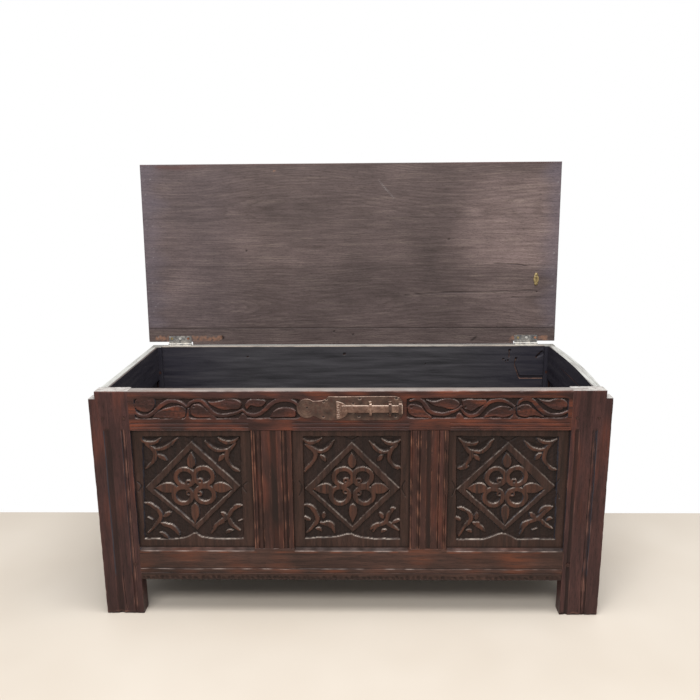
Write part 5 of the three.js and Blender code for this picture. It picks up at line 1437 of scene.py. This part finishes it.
def bent_strip(x, width, foot_low, foot_high, flare=1.0, slant=0.0):
    """A strip that stands on the plate, climbs over the bolt and comes down again."""
    climb = bolt_back - OVER_BOLT
    low, high = BAR_LOW - 0.6 - STRIP, BAR_HIGH + 0.6 + STRIP
    bpy.ops.object.select_all(action="DESELECT")
    bpy.ops.mesh.primitive_plane_add(
        size=1, location=np.array((x, bolt_back, low - foot_low / 2)) * MM, rotation=(math.pi / 2, 0, 0))
    bpy.ops.transform.resize(value=(width * MM, 1, foot_low * MM))
    strip = applied().data
    for vertex in strip.vertices:
        vertex.select = vertex.co.z / MM > low - 0.01
    for edge in strip.edges:
        edge.select = all(strip.vertices[i].select for i in edge.vertices)
    for face in strip.polygons:
        face.select = False
    bpy.ops.object.mode_set(mode="EDIT")
    bpy.ops.mesh.select_mode(type="EDGE")
    for move in ((0, -climb, 0.9), (0, 0, high - low - 1.8), (0, climb, 0.9), (slant, 0, foot_high)):
        bpy.ops.mesh.extrude_region_move(TRANSFORM_OT_translate={"value": np.array(move) * MM})
    bpy.ops.transform.resize(value=(flare, 1, 1))
    bpy.ops.mesh.select_all(action="SELECT")
    bpy.ops.mesh.normals_make_consistent(inside=False)
    bpy.ops.object.mode_set(mode="OBJECT")
    faces_front = sum(face.normal.y * face.area for face in strip.polygons) < 0
    apply_modifier("SOLIDIFY", thickness=STRIP * MM, offset=1.0 if faces_front else -1.0)
    return bevelled(0.6, 2, 30)


def on_foot(x, z):
    return stud((x, bolt_back - STRIP - 0.1, z), (2.6, 1.3, 2.8))


first_x, second_x = (sum(span(f"lock_{which}_strap", 0)) / 2 for which in ("first", "second"))
keeper_low, keeper_high = span("lock_keeper", 0)
# Each piece takes the darker or the paler copy of the iron by how it catches the light: painted shade and
# painted highlight.
mid, dark, bright = METAL["bolt_iron"], METAL["plate_iron"], METAL["bright_iron"]
joined([bent_strip(first_x, 5.6, 5, 5.5, 1.4, -1.0), on_foot(first_x - 1, 540)], (mid, bright))
finished("first_strap_iron", "case", "lock_first_strap")
joined([bent_strip(second_x, 6.6, 6, 5.5, 1.3), on_foot(second_x, 540), on_foot(second_x, 509.6)],
       (dark, mid, mid))
finished("second_strap_iron", "case", "lock_second_strap")
joined([bent_strip((keeper_low + keeper_high) / 2 - 0.3, keeper_high - keeper_low - 1, 5, 5),
        bar((keeper_high - 1.7, bolt_front - 2.4, BAR_LOW - 2),
            (keeper_high, bolt_back, BAR_HIGH + 2), 0.5)],
       (dark, bright))
finished("bolt_keeper_iron", "case", "lock_keeper")

# %% [markdown]
# ## Nails and screws
# A head is a small square grid pressed into a disc. Its slot is a strip of the same grid pushed down.
# Each hinge has three odd screws, of brass, zinc and copper, as old repairs leave them.

# %%
SCREW_S, SCREW_RADIUS, SCREW_RISE = 10.5, 3.6, 0.5
SCREWS = {"left": (-521, -497, -474), "right": (475, 499, 524)}


def screw_head(name, material, place, turn):
    line = np.linspace(-1, 1, 15)
    along_u = RIGHT * math.cos(turn) + LEAN_UP * math.sin(turn)
    along_v = LEAN_UP * math.cos(turn) - RIGHT * math.sin(turn)

    def round_off(a, b):
        return SCREW_RADIUS * a * np.sqrt(1 - b**2 / 2), SCREW_RADIUS * b * np.sqrt(1 - a**2 / 2)

    grid_a, grid_b = lattice(line, line)
    away = np.hypot(*round_off(grid_a, grid_b)) / SCREW_RADIUS
    dome = SCREW_RISE * (0.8 + 0.2 * (1 - away**2)) - 0.55 * SCREW_RISE * (np.abs(grid_b) < 0.2)
    board(name, "lid", material, "hinge_steel", line, line, dome, -0.3, (place, along_u, along_v),
          shift=round_off)


for side, places in SCREWS.items():
    face_y = span(f"{side}_hinge_lid_leaf", 1)[0] + SCREW_S * math.sin(LEAN)
    for number, x in enumerate(places):
        place = np.array([x, face_y + 0.25, (LID_FOOT + LEAN_UP * SCREW_S)[2]])
        material = METAL[("brass", "zinc", "copper")[number]]
        screw_head(f"{side}_lid_screw_{number + 1}", material, place, 0.6 + number)
print("hinge screws set")

# %% [markdown]
# ## The brass catch under the lid
# A small cast plate: an oval body with an eye at each end, a slot down its middle and two screws. It is
# modelled flat and upright, then leant back with the lid.

# %%
CATCH_X, CATCH_S = 521.0, 177.0
parts = []
for z, half_x, half_z in ((0, 7.6, 12), (-12.6, 5, 4.8), (12.6, 5, 4.8)):
    disc((0, -1.0, z), (half_x, half_z, 2), 40)
    applied()
    parts.append(bevelled(0.7))
cut_away(parts[0], block((0, -2, 0), (2.6, 2.4, 12)))
parts += [stud((0, -2.1, z), (2.6, 0.9, 2.6)) for z in (-12.4, 12.4)]
catch = joined(parts)
foot = LID_FOOT + CATCH_S * LEAN_UP
catch.rotation_euler = (-LEAN, 0, 0)
catch.location = Vector((CATCH_X, foot[1], foot[2])) * MM
finished("brass_catch", "lid", "lid_stay_plate", METAL["brass"])
